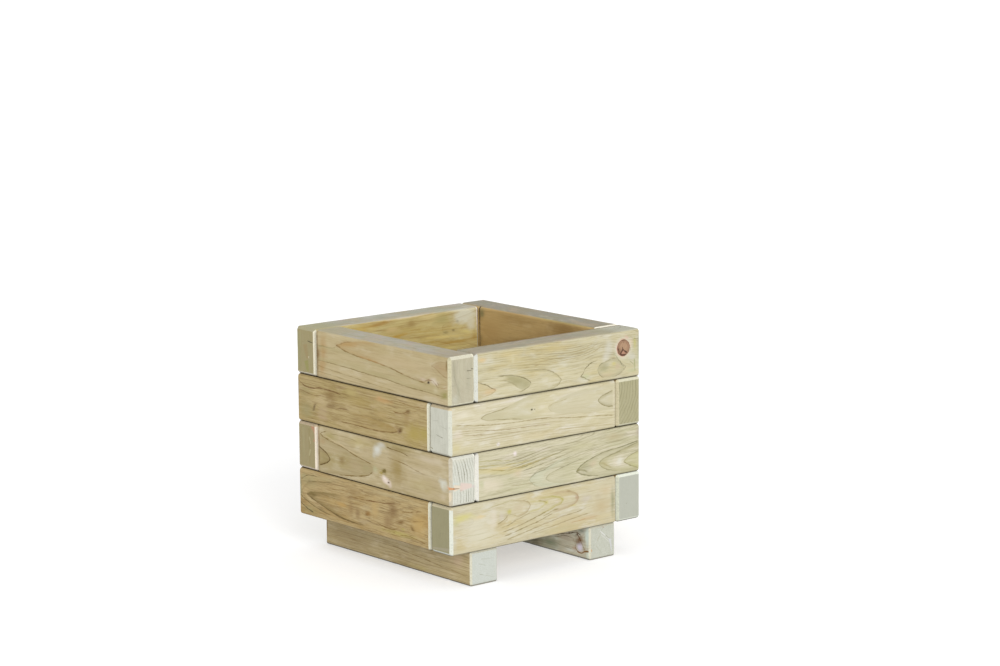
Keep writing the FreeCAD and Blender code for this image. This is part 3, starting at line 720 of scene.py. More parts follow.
    # cracks and other thin marks: (axis pair, x1, y1, x2, y2, width, colour, strength)
    for plane, x1, y1, x2, y2, wide, rgb, much in spec.get("marks_" + part, ()):
        x, y = {"up": (U, P), "in": (U, P), "qp": (Q, P), "qn": (Q, P)}[plane]
        jx = g.math("ADD", x, g.centred(g.noise(g.scaled(grain, 0.5, 0.5, 0.5, seed + 20), 1.0, 2.0, 0.5), 2.2))
        m = stroke(g, jx, y, x1, y1, x2, y2, wide, 0.6)
        if plane == "up":
            m = g.math("MULTIPLY", m, g.step(Q, 2.0, 4.0, 1.0, 0.0))
        if plane == "qn":  # only at the end nearest the front or the left
            m = g.math("MULTIPLY", m, g.step(U, -150.0, -148.0, 1.0, 0.0))
        if plane == "in":
            m = g.math("MULTIPLY", m, g.step(Q, 41.0, 43.0))
        colour = g.mix(g.math("MULTIPLY", m, much), colour, srgb(*rgb))
        if much > 0.7:
            height = g.math("SUBTRACT", height, g.math("MULTIPLY", m, 1.2))
    # painted shade in the joints: a board's bottom and top edges and its butt end are darkened where the joints' shadow
    # falls
    joint_shade = None
    if spec.get("seam_low"):
        joint_shade = g.step(g.math("ADD", P, g.centred(fibre, 0.5)), 0.3, spec["seam_low"], 1.0, 0.0)
    if spec.get("seam_top"):
        m = g.step(P, spec["seam_top"], 67.95)
        joint_shade = m if joint_shade is None else g.math("MAXIMUM", joint_shade, m)
    if part != "face" and "butt" in spec and spec.get("butt_dark", 1.0):
        far = g.math("ABSOLUTE", g.math("SUBTRACT", U, float(spec["butt"])))
        m = g.step(far, 0.2, spec.get("butt_dark", 1.0), 1.0, 0.0)
        joint_shade = m if joint_shade is None else g.math("MAXIMUM", joint_shade, m)
    if joint_shade is not None:
        colour = g.mix(g.math("MULTIPLY", joint_shade, 0.9), colour, srgb(*spec.get("joint_shade", (66, 58, 38))))
    # painted contact shadow: darker along the runner's bottom edge where it meets the floor
    if spec.get("foot_shade"):
        m = g.step(g.math("ADD", P, g.centred(fibre, 0.8)), 1.2, 3.8, spec["foot_shade"] if part == "face" else 0.7 * spec["foot_shade"], 0.0)
        colour = g.mix(m, colour, srgb(80, 74, 62))
    gain = spec.get({"face": "gain", "end": "end_gain", "bevel": "bevel_gain"}[part], 0.66)
    if not isinstance(gain, tuple):
        gain = (gain, gain, gain)
    colour = g.mix(1.0, colour, gain, "MULTIPLY")
    # painted highlight: the inner-side bevel of an end is brightened to look as lit as the faces beside it
    if part == "bevel" and look.get("bevel_q"):
        colour = g.brighter(colour, g.step(Q, 40.0, 41.5, 1.0, look["bevel_q"]))
    if part == "bevel" and look.get("bevel_far"):
        colour = g.brighter(colour, g.step(U, 110.0, 112.0, 1.0, look["bevel_far"]))
    if part == "bevel" and look.get("bevel_top"):
        colour = g.brighter(colour, g.step(P, 63.5, 65.0, 1.0, look["bevel_top"]))
    g.put(g.bsdf.inputs["Base Color"], colour)
    g.put(g.bsdf.inputs["Roughness"], g.step(fibre, 0.2, 0.8, 0.64, 0.82, "LINEAR"))
    g.bsdf.inputs["Specular IOR Level"].default_value = 0.3
    bump = g.add("ShaderNodeBump")
    bump.inputs["Strength"].default_value = 0.5 if part == "face" else 0.7
    bump.inputs["Distance"].default_value = 0.00035
    g.link(height, bump.inputs["Height"])
    g.link(bump.outputs["Normal"], g.bsdf.inputs["Normal"])
    return g.mat


def metal_material(name, light, dark, seed):
    """Yellow-zinc plated steel: slightly mottled, with a fine noise bump and uneven roughness."""
    g = Graph(name)
    tc = g.add("ShaderNodeTexCoord")
    blot = g.noise(tc.outputs["Object"], 260.0, 3.0, 0.6)
    fine = g.noise(tc.outputs["Object"], 2200.0, 2.0, 0.5)
    colour = g.mix(g.step(blot, 0.35, 0.7), srgb(*light), srgb(*dark))
    g.put(g.bsdf.inputs["Base Color"], colour)
    g.bsdf.inputs["Metallic"].default_value = 1.0
    g.put(g.bsdf.inputs["Roughness"], g.step(fine, 0.2, 0.8, 0.26, 0.44, "LINEAR"))
    bump = g.add("ShaderNodeBump")
    bump.inputs["Strength"].default_value = 0.15
    bump.inputs["Distance"].default_value = 0.00005
    g.link(fine, bump.inputs["Height"])
    g.link(bump.outputs["Normal"], g.bsdf.inputs["Normal"])
    return g.mat


# -------------------------------------------------------- each timber's figure
# u is the world's x on front and back timbers, and its y on the others.
WARM = dict(early=(209, 195, 155), late=(154, 130, 84), tone=(197, 184, 136), pale=(223, 213, 182))
SPECS = {
    # top course
    "course_4_front_board": dict(
        joint_shade=(56, 48, 30),
        punch=1.12,
        zones=[
            ([(-78, 30), (-68, 31), (-57, 29), (-42, 24), (-35, 20), (-30, 16)], [(-78, 27), (-66, 22), (-58, 15), (-52, 11), (-44, 8.5), (-37, 10), (-30, 16)], (180, 174, 130), 0.5, 0.6, 3.0, 18, 2),
            ([(91, 19), (95, 24), (105, 28), (117, 31), (127, 29.5), (135, 23.5), (144, 16.5)], [(91, 19), (93, 14), (97, 9.5), (105, 6), (120, 5), (133, 8.5), (144, 16.5)], (184, 178, 140), 0.62, 0.06, 8.0, 1, 8),
            ([(-126, 29), (-119, 26.5), (-107, 22), (-100, 17.5), (-92, 13.5)], [(-126, 4), (-114, 6), (-104, 9), (-97, 11), (-92, 13.5)], (206, 190, 142), 0.4, 0.4, 4.0, 2, 1),
            ([(-60, 37), (-34, 34.5), (-10, 32), (4, 28.5), (13, 24), (20, 19), (25, 13.5)], [(-60, 2), (-20, 2), (8, 3), (14, 5), (20, 8), (25, 13.5)], (188, 180, 136), 0.6, 0.0, 5.0, 30, 1),
        ],
        seed=11, spacing=3.0, depth=50, up=1.35, down=1.0, wave=0.9,
        crest=[(-130, 14), (-34, 15), (22, 13), (64, 13), (110, 16), (172, 12)],
        core=[(-172, -0.6), (-94, 0.0), (-34, 1.0), (22, 2.0), (43, 2.25), (64, 2.0), (92, 1.0), (118, 0.5), (142, 1.0), (160, 2.0), (172, 3.0)],
        early=(214, 206, 166), late=(150, 138, 94), tone=(210, 196, 142), pale=(224, 220, 194),
        contrast=0.62, faint=0.25, fade=0.15, dash=0.5, tone_amount=0.75, pale_amount=0.7,
        knots=[dict(u=139.6, p=43.8, r=11.9, swell=7.0, flow_u=2.4, flow_p=1.6, colour=(192, 159, 124), second=(172, 137, 104), dark=(126, 88, 62), crack=(80, 48, 30), rim_colour=(116, 72, 50),
                    marks=((-1.0, -2.0, -5.8, -8.6, 1.8), (-1.0, -2.0, 2.0, -4.6, 1.2), (2.0, -4.6, 6.8, -7.4, 1.9), (-1.3, -1.8, -1.8, 1.4, 0.9), (-5.4, -9.4, 4.8, -10.2, 1.5), (-2.8, 10.4, 3.0, 10.4, 0.5), (-9.4, 0.0, -8.0, -5.0, 0.8), (0.4, 6.4, 0.8, 8.2, 0.5)))],
        powers=[(0, 8, 500, 24, 0.12), (40, 46, 90, 18, 1.5), (-110, 50, 40, 24, 0.5)],
        lines=[
            ([(-126, 29), (-119, 26.5), (-107, 22), (-100, 17.5), (-92, 13.5)], 1.7, (146, 134, 92), 0.75, 1, 0.6),
            ([(-118, 7), (-104, 9), (-97, 11), (-92, 13.5)], 1.3, (184, 166, 118), 0.6, 12, 0.6),
            ([(-92, 32), (-72, 31.5), (-57, 29), (-42, 24), (-35, 20), (-30, 16)], 1.6, (150, 142, 100), 0.8, 14, 0.6),
            ([(-52, 5), (-44, 7.5), (-37, 10), (-32, 13), (-30, 16)], 1.3, (160, 152, 110), 0.7, 6, 0.6),
            ([(-86, 26), (-74, 24), (-62, 19), (-52, 12)], 2.6, (176, 168, 124), 0.6, 10, 6),
            ([(-34, 34.5), (-10, 32), (4, 28.5), (13, 24), (20, 19), (25, 13.5)], 1.5, (152, 142, 100), 0.75, 26, 0.6),
            ([(8, 3), (14, 5), (20, 8), (25, 13.5)], 1.3, (154, 144, 102), 0.7, 5, 0.6),
            ([(59.5, 12.8), (65, 17.5), (67, 21.5), (74, 27), (82, 30.5), (94, 33)], 1.7, (148, 140, 98), 0.85, 0.6, 10),
            ([(59.5, 12.8), (66, 11), (71, 8), (80, 5.5)], 1.5, (148, 140, 98), 0.8, 0.6, 5),
            ([(91, 19), (95, 24), (105, 28), (117, 31)], 1.6, (156, 150, 108), 0.75, 0.6, 5),
            ([(91, 19), (93, 14), (97, 9.5), (103, 6)], 1.5, (158, 148, 106), 0.75, 0.6, 5),
            ([(116, 31.5), (127, 29.5), (135, 23.5), (144, 16.5)], 1.4, (164, 154, 118), 0.55, 4, 0.6),
            ([(122, 5.5), (133, 8.5), (139, 12), (144, 16.5)], 1.5, (160, 148, 114), 0.75, 6, 0.6),
            ([(151, 24), (156, 21), (159, 17), (160.5, 11), (161, 5)], 1.4, (150, 152, 110), 0.7, 2, 2),
            ([(152, 60), (160, 52), (164, 44), (165, 34)], 1.5, (178, 172, 124), 0.6, 4, 4),
            ([(-60, 38), (-10, 39), (40, 40), (84, 45), (104, 56)], 1.0, (176, 160, 108), 0.6, 20, 12),
            ([(-40, 42), (20, 44), (70, 47), (96, 58)], 0.9, (176, 160, 108), 0.55, 20, 12),
            ([(-100, 46), (-50, 46), (10, 48), (64, 51), (90, 61)], 0.9, (182, 166, 114), 0.5, 20, 12),
        ],
        marks_face=[("up", 159, 54.5, 168, 53.5, 0.9, (140, 132, 96), 0.7), ("up", 160, 26, 161.5, 8, 1.5, (158, 164, 112), 0.7), ("up", 121.8, 38, 126.5, 33, 1.1, (168, 176, 138), 0.5), ("up", 126.5, 33, 130.1, 28.4, 1.2, (140, 146, 108), 0.6), ("up", 130.1, 28.4, 133.4, 26, 1.0, (134, 138, 100), 0.6), ("up", 133.4, 26, 136.8, 19.8, 1.3, (126, 122, 88), 0.7), ("up", 138.2, 19.8, 140.4, 16.6, 1.0, (140, 138, 100), 0.55), ("up", 139.4, 14.4, 142.2, 12.6, 1.0, (140, 138, 100), 0.55), ("up", 152, 43, 152.6, 38, 0.9, (140, 134, 96), 0.7)],
        stains_and_shades=[(150, 30, 44, 26, (206, 206, 170), 0.45), (112, 12, 60, 9, (208, 206, 168), 0.4), (168, 18, 8, 16, (204, 208, 172), 0.6),
                (-56, 22, 26, 7, (172, 165, 118), 0.9, -14), (-40, 15, 9, 6, (176, 170, 124), 0.8), (-70, 29, 16, 3.5, (178, 170, 122), 0.7, -6), (104, 20, 14, 9, (170, 168, 126), 0.85, 20), (122, 24, 5.5, 5, (214, 202, 120), 0.9),
                (108, 9, 22, 4.5, (226, 200, 156), 0.8), (129, 18.5, 9, 7.5, (206, 187, 154), 0.85), (112, 46, 14, 20, (221, 219, 199), 0.75, -12), (106, 34, 10, 10, (220, 216, 194), 0.8, 20), (146, 57.6, 8, 3.3, (219, 173, 148), 1.35, -32), (153, 50, 3, 6, (224, 202, 168), 0.8), (126.5, 45, 3.6, 9, (226, 222, 212), 0.9), (154, 31, 9, 7, (214, 212, 192), 0.9), (169, 45, 4, 22, (172, 168, 142), 0.9), (154, 50, 3.5, 9, (226, 196, 160), 0.6, -15), (161, 49, 4, 15, (204, 198, 130), 1.2), (157, 29, 9, 6, (216, 212, 190), 0.8), (168, 40, 5, 24, (186, 188, 152), 0.6),
                (-104, 13, 15, 6, (222, 192, 142), 0.9, 6), (-96, 14.5, 5, 2.5, (230, 180, 128), 0.8), (-116, 58, 12, 5, (232, 204, 148), 0.8), (-70, 60, 40, 8, (216, 198, 136), 0.6), (20, 58, 50, 7, (212, 194, 134), 0.6), (-30, 44, 60, 10, (206, 192, 136), 0.35), (70, 12, 10, 6, (196, 200, 144), 0.6), (-62, 52, 5, 14, (222, 216, 178), 0.5), (156, 10, 12, 5, (192, 198, 154), 0.7),
                (0, 67, 500, 4, (150, 128, 86), 2.4, 0, 9, 43), (-110, 67, 40, 4, (178, 166, 104), 1.6, 0, 9, 43)],
    ),
    "course_4_left_board": dict(
        joint_shade=(36, 22, 4),
        punch=1.38, fibre=0.55,
        zones=[
            ([(-30, 67), (20, 65), (40, 61.5), (46, 60.5), (57, 58.5), (67, 55.5), (77.5, 52)], [(-30, 38.8), (2, 41), (32, 43.3), (52, 45.5), (67, 49), (77.5, 52)], (188, 160, 110), 0.55, 0.12, 8.0, 40, 1),
            ([(-172, 61), (-168, 60.3), (-152, 59), (-141, 55.5), (-134, 52)], [(-172, 39), (-157, 42), (-150, 45.3), (-142, 49.5), (-134, 52)], (184, 162, 120), 0.4, 0.2, 8.0, 1, 1),
            ([(-165, 26), (-122, 26.5), (-72, 32), (-47, 36.3), (-22, 39.3), (2, 41), (60, 47), (122, 47)], [(-165, 12.8), (-122, 14.8), (-72, 16.5), (-42, 19), (2, 21), (52, 23.5), (90, 25), (122, 25.5)], (186, 172, 128), 0.5, 0.1, 9.0, 10, 4),
        ],
        seed=12, spacing=7.0, depth=50, up=1.15, down=1.2, wave=0.4,
        crest=[(-172, 51), (-135, 52), (-100, 46), (-20, 50), (76, 52), (128, 50)],
        core=[(-172, -1.7), (-135, -1.0), (-20, -0.42), (40, -0.16), (76, 0.0), (128, 0.55)],
        early=(199, 182, 142), late=(140, 114, 72), tone=(192, 174, 130), pale=(210, 196, 164), contrast=0.5, faint=0.5, sub=0.2, line_mm=2.0, power=0.25, dash=0.14, tone_amount=0.7,
        lines=[
            ([(-122, 26.5), (-97, 28.5), (-72, 32), (-47, 36.3), (-22, 39.3), (2, 41), (32, 43.3), (52, 45.5), (67, 49), (77.5, 52)], 2.1, (158, 136, 92), 0.72, 8, 0.6),
            ([(-34, 38.6), (-10, 40.6), (14, 42.5), (30, 43.6)], 3.2, (188, 158, 110), 0.5, 12, 12),
            ([(40, 61.5), (46, 60.5), (57, 58.5), (67, 55.5), (77.5, 52)], 1.5, (166, 142, 98), 0.6, 8, 0.6),
            ([(66, 50.5), (72, 51.5), (78, 52)], 3.0, (146, 120, 78), 0.65, 4, 0.6),
            ([(78, 49), (88, 46.5), (98, 46), (110, 47), (121, 46)], 1.8, (160, 148, 104), 0.6, 4, 3),
            ([(-150, 22.5), (-145, 26), (-139, 30.3), (-132.5, 32), (-124, 31), (-119, 27.5)], 1.2, (160, 134, 98), 0.8, 3, 0.6),
            ([(-165, 12.8), (-122, 14.8), (-72, 16.5), (-42, 19), (2, 21), (52, 23.5), (90, 25), (122, 25.5)], 1.4, (156, 138, 94), 0.68, 10, 2),
            ([(-60, 6), (-10, 8.3), (40, 12), (77, 14.5), (122, 18)], 1.2, (160, 142, 98), 0.6, 14, 2),
            ([(-17, 3.8), (28, 5.2), (76, 7.4), (122, 9.5)], 1.1, (162, 144, 100), 0.5, 14, 2),
            ([(-172, 39), (-157, 42), (-150, 45.3), (-142, 49.5), (-134, 52)], 1.8, (168, 146, 102), 0.5, 4, 1.5),
            ([(-168, 60.3), (-152, 59), (-141, 55.5), (-134, 52)], 1.6, (176, 154, 110), 0.3, 6, 1.5),
            ([(-168, 27), (-156, 24), (-146, 25)], 1.4, (176, 146, 104), 0.5, 3, 4),
        ],
        stains_and_shades=[(-172.5, 46, 4, 30, (182, 178, 154), 0.9, 0, 4.5, 9), (-172.5, 20, 4, 22, (184, 182, 158), 0.9, 0, 4.5, 15), (-172.5, 44, 4, 34, (206, 201, 178), 0.9, 0, 5, 21), (-172.5, 34, 4, 30, (188, 185, 164), 0.6, 0, 5, 32), (-172.5, 54, 4, 12, (180, 176, 154), 0.6, 0, 3.5, 38), (-172.5, 10, 4, 10, (214, 214, 200), 0.7, 0, 10, 10),
                (121.8, 34, 3.2, 60, (128, 108, 74), 1.0),
                (-158, 51, 22, 10, (184, 158, 116), 0.55), (-168.5, 55, 5, 14, (134, 114, 66), 1.2), (-146, 52, 10, 4, (176, 148, 106), 0.5), (-140, 31, 15, 7, (218, 204, 182), 0.95, 12), (-116, 31, 12, 3.5, (214, 194, 172), 0.7), (-127.5, 28, 3.6, 3.2, (104, 88, 62), 1.1), (-121, 25, 4, 2, (156, 132, 92), 0.8), (-143, 19, 9, 6, (212, 200, 166), 0.7),
                (48, 57, 32, 7, (190, 158, 104), 0.75, -6), (64, 54, 14, 4, (186, 152, 98), 0.5, -12), (108, 40, 14, 34, (184, 154, 104), 0.8), (112, 16, 13, 16, (186, 156, 108), 0.7), (119, 34, 6, 14, (146, 118, 74), 0.8),
                (-162, 15, 13, 8, (158, 150, 88), 0.85), (-60, 46, 90, 14, (202, 182, 144), 0.5), (-20, 24, 70, 6, (184, 170, 124), 0.5), (30, 30, 50, 6, (186, 172, 126), 0.4)],
        marks_face=[("up", -129.3, 28.8, -126, 27.6, 2.0, (64, 52, 34), 0.95), ("up", -150, 27.5, -146.5, 31, 1.2, (150, 122, 86), 0.7)],
        end_early=(204, 198, 176), end_late=(172, 164, 138), end_tone=(188, 180, 158), end_pale=(218, 214, 198), end_contrast=0.2, end_speck=0.4,
        marks_end=[("qp", 31, 46.5, 38, 46, 0.9, (120, 114, 92), 0.8), ("qp", 38, 48.5, 44, 47.5, 0.9, (104, 98, 78), 0.8), ("qp", 30, 36, 37, 36, 0.8, (150, 146, 122), 0.7), ("qp", 7, 62, 8.5, 40, 1.5, (178, 172, 152), 0.7), ("qp", 8.5, 42, 12, 30, 1.6, (174, 168, 148), 0.7), ("qp", 12, 31, 20, 8, 1.6, (180, 176, 154), 0.65), ("qp", 14, 62, 13, 44, 1.2, (186, 178, 162), 0.5), ("qp", 3, 29, 9, 29, 1.2, (176, 170, 150), 0.6)],
        bevel_q=1.3, bevel_top=0.98, edges=[("outer", (207, 201, 168)), ("far", (203, 196, 171))],
    ),
    "course_4_back_board": dict(
        joint_shade=(70, 54, 30),
        halves=((0.93, 0.98, 1.28), None),
        seed=13, spacing=4.2, depth=96, wave=1.6, up=1.1, down=1.1, crest=[(-172, 40), (0, 44), (127, 36)], core=[(-172, 0), (0, 1.5), (60, 0.6), (127, -1.4)],
        early=(196, 176, 116), late=(146, 112, 54), tone=(184, 158, 86), pale=(210, 196, 142), contrast=0.6, fibre=1.4, fade=0.2,
        stains_and_shades=[(100, 58, 34, 20, (214, 208, 182), 1.5, 0, 14, 45), (112, 44, 12, 16, (210, 200, 168), 1.2, 0, 14, 45), (104, 33, 20, 4.5, (212, 194, 124), 1.1, -12, 12, 45), (58, 56, 24, 13, (172, 158, 100), 0.9, 0, 12, 45),
                (-60, 62, 40, 4, (166, 124, 56), 1.0, 3, 12, 45), (-24, 41, 36, 4.0, (180, 142, 58), 1.1, 6, 12, 45), (-34, 51, 18, 6, (204, 178, 122), 1.1, 0, 12, 45), (0, 56, 14, 8, (158, 130, 74), 0.9, 0, 12, 45),
                (34, 62, 26, 5, (208, 186, 128), 1.0, 0, 12, 45), (80, 20, 54, 4.5, (172, 136, 58), 1.0, 0, 12, 45), (60, 30, 70, 3.5, (214, 190, 118), 1.0, -3, 12, 45), (60, 13, 54, 3.5, (210, 188, 110), 0.9, 0, 12, 45), (40, 25, 60, 2.5, (170, 138, 62), 0.8, -3, 12, 45),
                (86, 50, 3.4, 3.0, (96, 84, 54), 1.2, 0, 12, 45), (78, 38, 5, 3, (112, 100, 66), 1.0, 0, 12, 45), (64, 36, 7, 3, (136, 126, 82), 0.8, 0, 12, 45), (-90, 58, 40, 8, (200, 170, 92), 0.8, 0, 12, 45), (-10, 67.5, 60, 3.4, (214, 196, 176), 0.9, 0, 12, 45), (80, 67.5, 60, 3.4, (200, 192, 164), 0.9, 0, 12, 45), (118, 24, 10, 8, (166, 132, 62), 0.7, 0, 12, 45)],
        marks_face=[("in", 123.4, 67, 123.2, 30, 2.2, (238, 222, 206), 0.95), ("in", 123.6, 40, 123.6, 0, 1.2, (226, 214, 170), 0.9), ("in", 126.2, 68, 126.2, 0, 1.6, (74, 60, 38), 0.9)],
        end_early=(172, 162, 124), end_late=(150, 138, 98), end_tone=(164, 154, 108), end_pale=(190, 182, 146), end_contrast=0.3,
        marks_end=[("qp", 8, 60, 8, 8, 5.0, (160, 160, 122), 0.45), ("qp", 28, 49.5, 44, 47.5, 0.9, (88, 78, 56), 0.9), ("qp", 34, 51, 33, 47, 0.8, (120, 108, 78), 0.8), ("qp", 29.5, 27.5, 31, 25, 2.2, (214, 206, 180), 0.8), ("qp", 24, 21, 28, 6, 7.0, (158, 156, 92), 0.7), ("qp", 22, 44, 27, 24, 7.0, (166, 144, 100), 0.5), ("qp", 3, 60, 4, 8, 3.2, (176, 176, 138), 0.6), ("qp", 10, 62, 11, 40, 2.6, (178, 170, 128), 0.5)],
        bevel_q=1.03, bevel_top=1.0,
    ),
    "course_4_right_board": dict(
        halves=((0.85, 1.05, 1.38), None),
        seed=14, spacing=6.0, depth=98, wave=0.8, crest=[(-127, 30), (172, 36)], core=[(-127, 0), (172, 3)],
        early=(188, 160, 108), late=(146, 118, 72), tone=(172, 144, 92), pale=(200, 176, 130), contrast=0.4, fibre=0.8, dash=0.25,
        stains_and_shades=[(-62, 56, 60, 26, (140, 110, 62), 0.8, 0, 14, 45), (100, 34, 32, 30, (182, 152, 102), 0.9, 0, 14, 45), (122, 58, 9, 12, (130, 124, 86), 1.0, 0, 14, 45), (124, 20, 6, 12, (150, 128, 84), 0.8, 0, 14, 45), (40, 26, 70, 9, (136, 106, 60), 0.8, -8, 14, 45), (-12, 44, 30, 10, (168, 138, 90), 0.7, 0, 14, 45), (50, 56, 50, 9, (166, 136, 84), 0.6, 0, 14, 45),
                (-60, 67, 100, 3.4, (176, 164, 108), 1.0, 0, 14, 45), (60, 67, 90, 3.0, (180, 152, 106), 0.8, 0, 14, 45)],
        bevel_top=1.28,
    ),
    # third course
    "course_3_front_board": dict(
        joint_shade=(126, 116, 90),
        punch=1.12, fibre=0.7,
        zones=[
            ([(-119, 46.8), (-110, 50), (-95, 53), (-78, 56), (-60, 60), (-40, 65), (0, 68)], [(-119, 46.8), (-110, 43), (-90, 41), (-67, 38.5), (-40, 35), (0, 31)], (196, 188, 152), 0.8, 0.3, 9.0, 1, 40),
            ([(0, 46), (6, 50), (20, 54), (36, 58.5), (60, 62), (122, 63)], [(0, 46), (4, 41), (12, 37), (30, 33), (60, 30), (122, 27)], (198, 190, 156), 0.6, 0.4, 9.0, 2, 3),
            ([(91.5, 43.5), (97, 47.5), (107, 51), (120, 54.2)], [(91.5, 43.5), (96, 39), (107, 34), (120, 31.5)], (176, 168, 132), 0.7, 0.1, 6.0, 0.6, 3),
        ],
        seed=21, spacing=3.0, depth=50, up=1.0, down=1.35, wave=0.7,
        crest=[(-172, 46), (-119, 47), (2, 48), (92, 45), (127, 44)],
        core=[(-172, 0.6), (-119, 0.0), (2, -1.0), (92, -2.0), (127, -2.7)],
        early=(215, 206, 174), late=(170, 156, 116), tone=(208, 198, 158), pale=(228, 222, 202), contrast=0.55, faint=0.3, fade=0.15, dash=0.4, tone_amount=0.75, pale_amount=0.75,
        powers=[(20, 48, 400, 13, 0.15), (-120, 26, 60, 20, 1.5)],
        lines=[
            ([(-119, 46.8), (-110, 50), (-100, 52), (-80, 54.3), (-65, 58.5)], 1.4, (172, 162, 124), 0.8, 0.6, 12),
            ([(-119, 46.8), (-110, 43), (-90, 41), (-67, 38.5), (-40, 35)], 1.5, (168, 158, 118), 0.8, 0.6, 16),
            ([(0, 46), (4, 48), (10, 50), (25, 52), (40, 55)], 1.1, (180, 166, 126), 0.6, 1, 12),
            ([(0, 46), (3, 42), (8, 38)], 1.0, (184, 172, 134), 0.5, 1, 4),
            ([(91.5, 43.5), (97, 47.5), (107, 51), (120, 54.2)], 1.6, (158, 148, 108), 0.85, 0.6, 3),
            ([(91.5, 43.5), (96, 39), (107, 34), (121, 31.5)], 1.6, (158, 148, 108), 0.85, 0.6, 3),
            ([(-166, 43.5), (-142, 40), (-107, 36), (-67, 33.5), (-12, 32), (52, 25), (102, 21), (122, 19)], 1.3, (166, 152, 110), 0.75, 10, 6),
            ([(-160, 33), (-122, 30.5), (-85, 26), (-47, 24.5), (10, 22)], 1.3, (170, 154, 116), 0.7, 10, 16),
            ([(-154, 27.5), (-115, 24), (-72, 20.5), (-30, 18)], 1.2, (170, 154, 118), 0.65, 10, 16),
            ([(-40, 14), (20, 12), (80, 9.5), (122, 6)], 1.0, (180, 164, 122), 0.55, 16, 6),
        ],
        marks_face=[("up", -30.4, 46.8, -27.4, 46.6, 1.7, (88, 80, 54), 0.95), ("up", -24.6, 46.4, -22.4, 46.7, 1.3, (112, 104, 74), 0.85), ("up", -91, 8, -86.5, 5.5, 0.9, (176, 164, 150), 0.6)],
        stains_and_shades=[(-96, 46.5, 30, 5, (198, 188, 152), 0.8), (-50, 47, 30, 9, (206, 200, 170), 0.6), (-89, 7, 4.5, 4, (240, 232, 226), 1.2), (-10, 48, 14, 5, (228, 220, 196), 0.6),
                (-26, 46.7, 9, 5, (224, 216, 186), 0.9), (-28.5, 46.7, 2.4, 2.0, (92, 84, 58), 1.6), (-23.5, 46.5, 2.2, 1.8, (128, 120, 88), 1.4), (4, 47.5, 4, 3, (192, 176, 132), 1.0), (-150, 56, 26, 8, (230, 222, 200), 0.7), (-158, 28, 12, 9, (222, 208, 186), 0.6), (-75, 20, 16, 5, (190, 182, 140), 0.5), (40, 58, 60, 5, (214, 206, 184), 0.6), (50, 36, 40, 12, (206, 194, 160), 0.5), (-20, 10, 60, 7, (214, 200, 160), 0.5), (0, 22, 7, 4, (222, 212, 192), 0.7),
                (118, 62, 8, 5, (214, 206, 176), 0.5), (-162, 12, 12, 10, (212, 200, 150), 0.6), (-60, 63, 50, 3, (222, 214, 200), 0.7)],
        end_early=(200, 200, 186), end_late=(180, 180, 164), end_pale=(216, 216, 204), end_contrast=0.2,
        marks_end=[("qp", 16, 25, 30, 27.5, 0.7, (134, 132, 112), 0.8), ("qp", 8, 38, 22, 41, 0.6, (160, 160, 144), 0.6), ("qp", 26, 47, 36, 45.5, 0.6, (164, 162, 146), 0.6), ("qp", 37, 7, 45, 10, 1.0, (120, 110, 70), 0.7), ("qp", 10, 17, 20, 14, 0.6, (176, 176, 160), 0.6)],
    ),
    "course_3_left_board": dict(
        joint_shade=(52, 36, 12),
        punch=1.25,
        zones=[
            ([(-60, 19), (-47, 24), (-20, 27), (20, 29), (60, 31)], [(-60, 19), (-47, 15.8), (-32, 14), (2, 12.8), (60, 13)], (168, 142, 84), 0.5, 0.2, 6.0, 2, 40),
        ],
        seed=22, spacing=4.6, depth=50, up=1.2, down=1.2, wave=1.0,
        crest=[(-127, 30), (-60, 30), (60, 33), (172, 50)], core=[(-127, -1.2), (-64, 0.4), (20, -0.3), (100, 0.0), (172, 1.0)],
        early=(184, 164, 110), late=(128, 100, 56), tone=(170, 150, 92), pale=(200, 180, 134), contrast=0.55, faint=0.3, fibre=1.3, tone_amount=0.85, pale_amount=0.7, power=0.3, fade=0.2, dash=0.5,
        lines=[
            ([(-60, 19), (-47, 15.8), (-32, 14), (2, 12.8), (40, 13.6), (78, 12)], 1.8, (138, 112, 64), 0.75, 2, 14),
            ([(-86, 51), (-78, 48.5), (-72, 46), (-62, 44.5), (-47, 45.5)], 1.7, (140, 112, 62), 0.75, 2, 8),
            ([(48, 32), (67, 32), (82, 29.5), (105, 30.3)], 2.4, (140, 114, 70), 0.65, 10, 4),
            ([(66, 51), (90, 53.5), (115, 54), (137, 51.2), (155, 53), (165, 57.5), (171, 61)], 1.9, (130, 102, 58), 0.8, 8, 1),
            ([(107, 44), (132, 42), (152, 43.5), (166, 46)], 1.4, (142, 116, 70), 0.65, 8, 2),
            ([(-122, 60), (-96, 58), (-62, 60), (-30, 58)], 1.4, (150, 122, 70), 0.6, 6, 12),
            ([(-110, 56), (-96, 52), (-84, 51)], 1.2, (158, 130, 78), 0.6, 6, 2),
            ([(-20, 26), (10, 30), (40, 27), (60, 30)], 1.2, (150, 128, 78), 0.45, 12, 12),
        ],
        stains_and_shades=[(-65, 21, 9, 5.5, (116, 88, 46), 1.2, -25), (-60, 22, 5, 3, (140, 112, 64), 0.8), (-56, 24, 5, 6, (160, 132, 80), 0.6),
                (-82, 50, 7, 3.4, (118, 92, 50), 1.0), (-80, 40, 10, 18, (162, 136, 82), 0.6), (-28, 57, 30, 5, (196, 158, 100), 0.8), (-20, 60, 8, 2.5, (206, 164, 112), 0.8), (-96, 20, 34, 22, (180, 160, 88), 0.9), (-118, 24, 14, 14, (176, 158, 84), 0.8), (-98, 46, 14, 6, (198, 176, 126), 0.6),
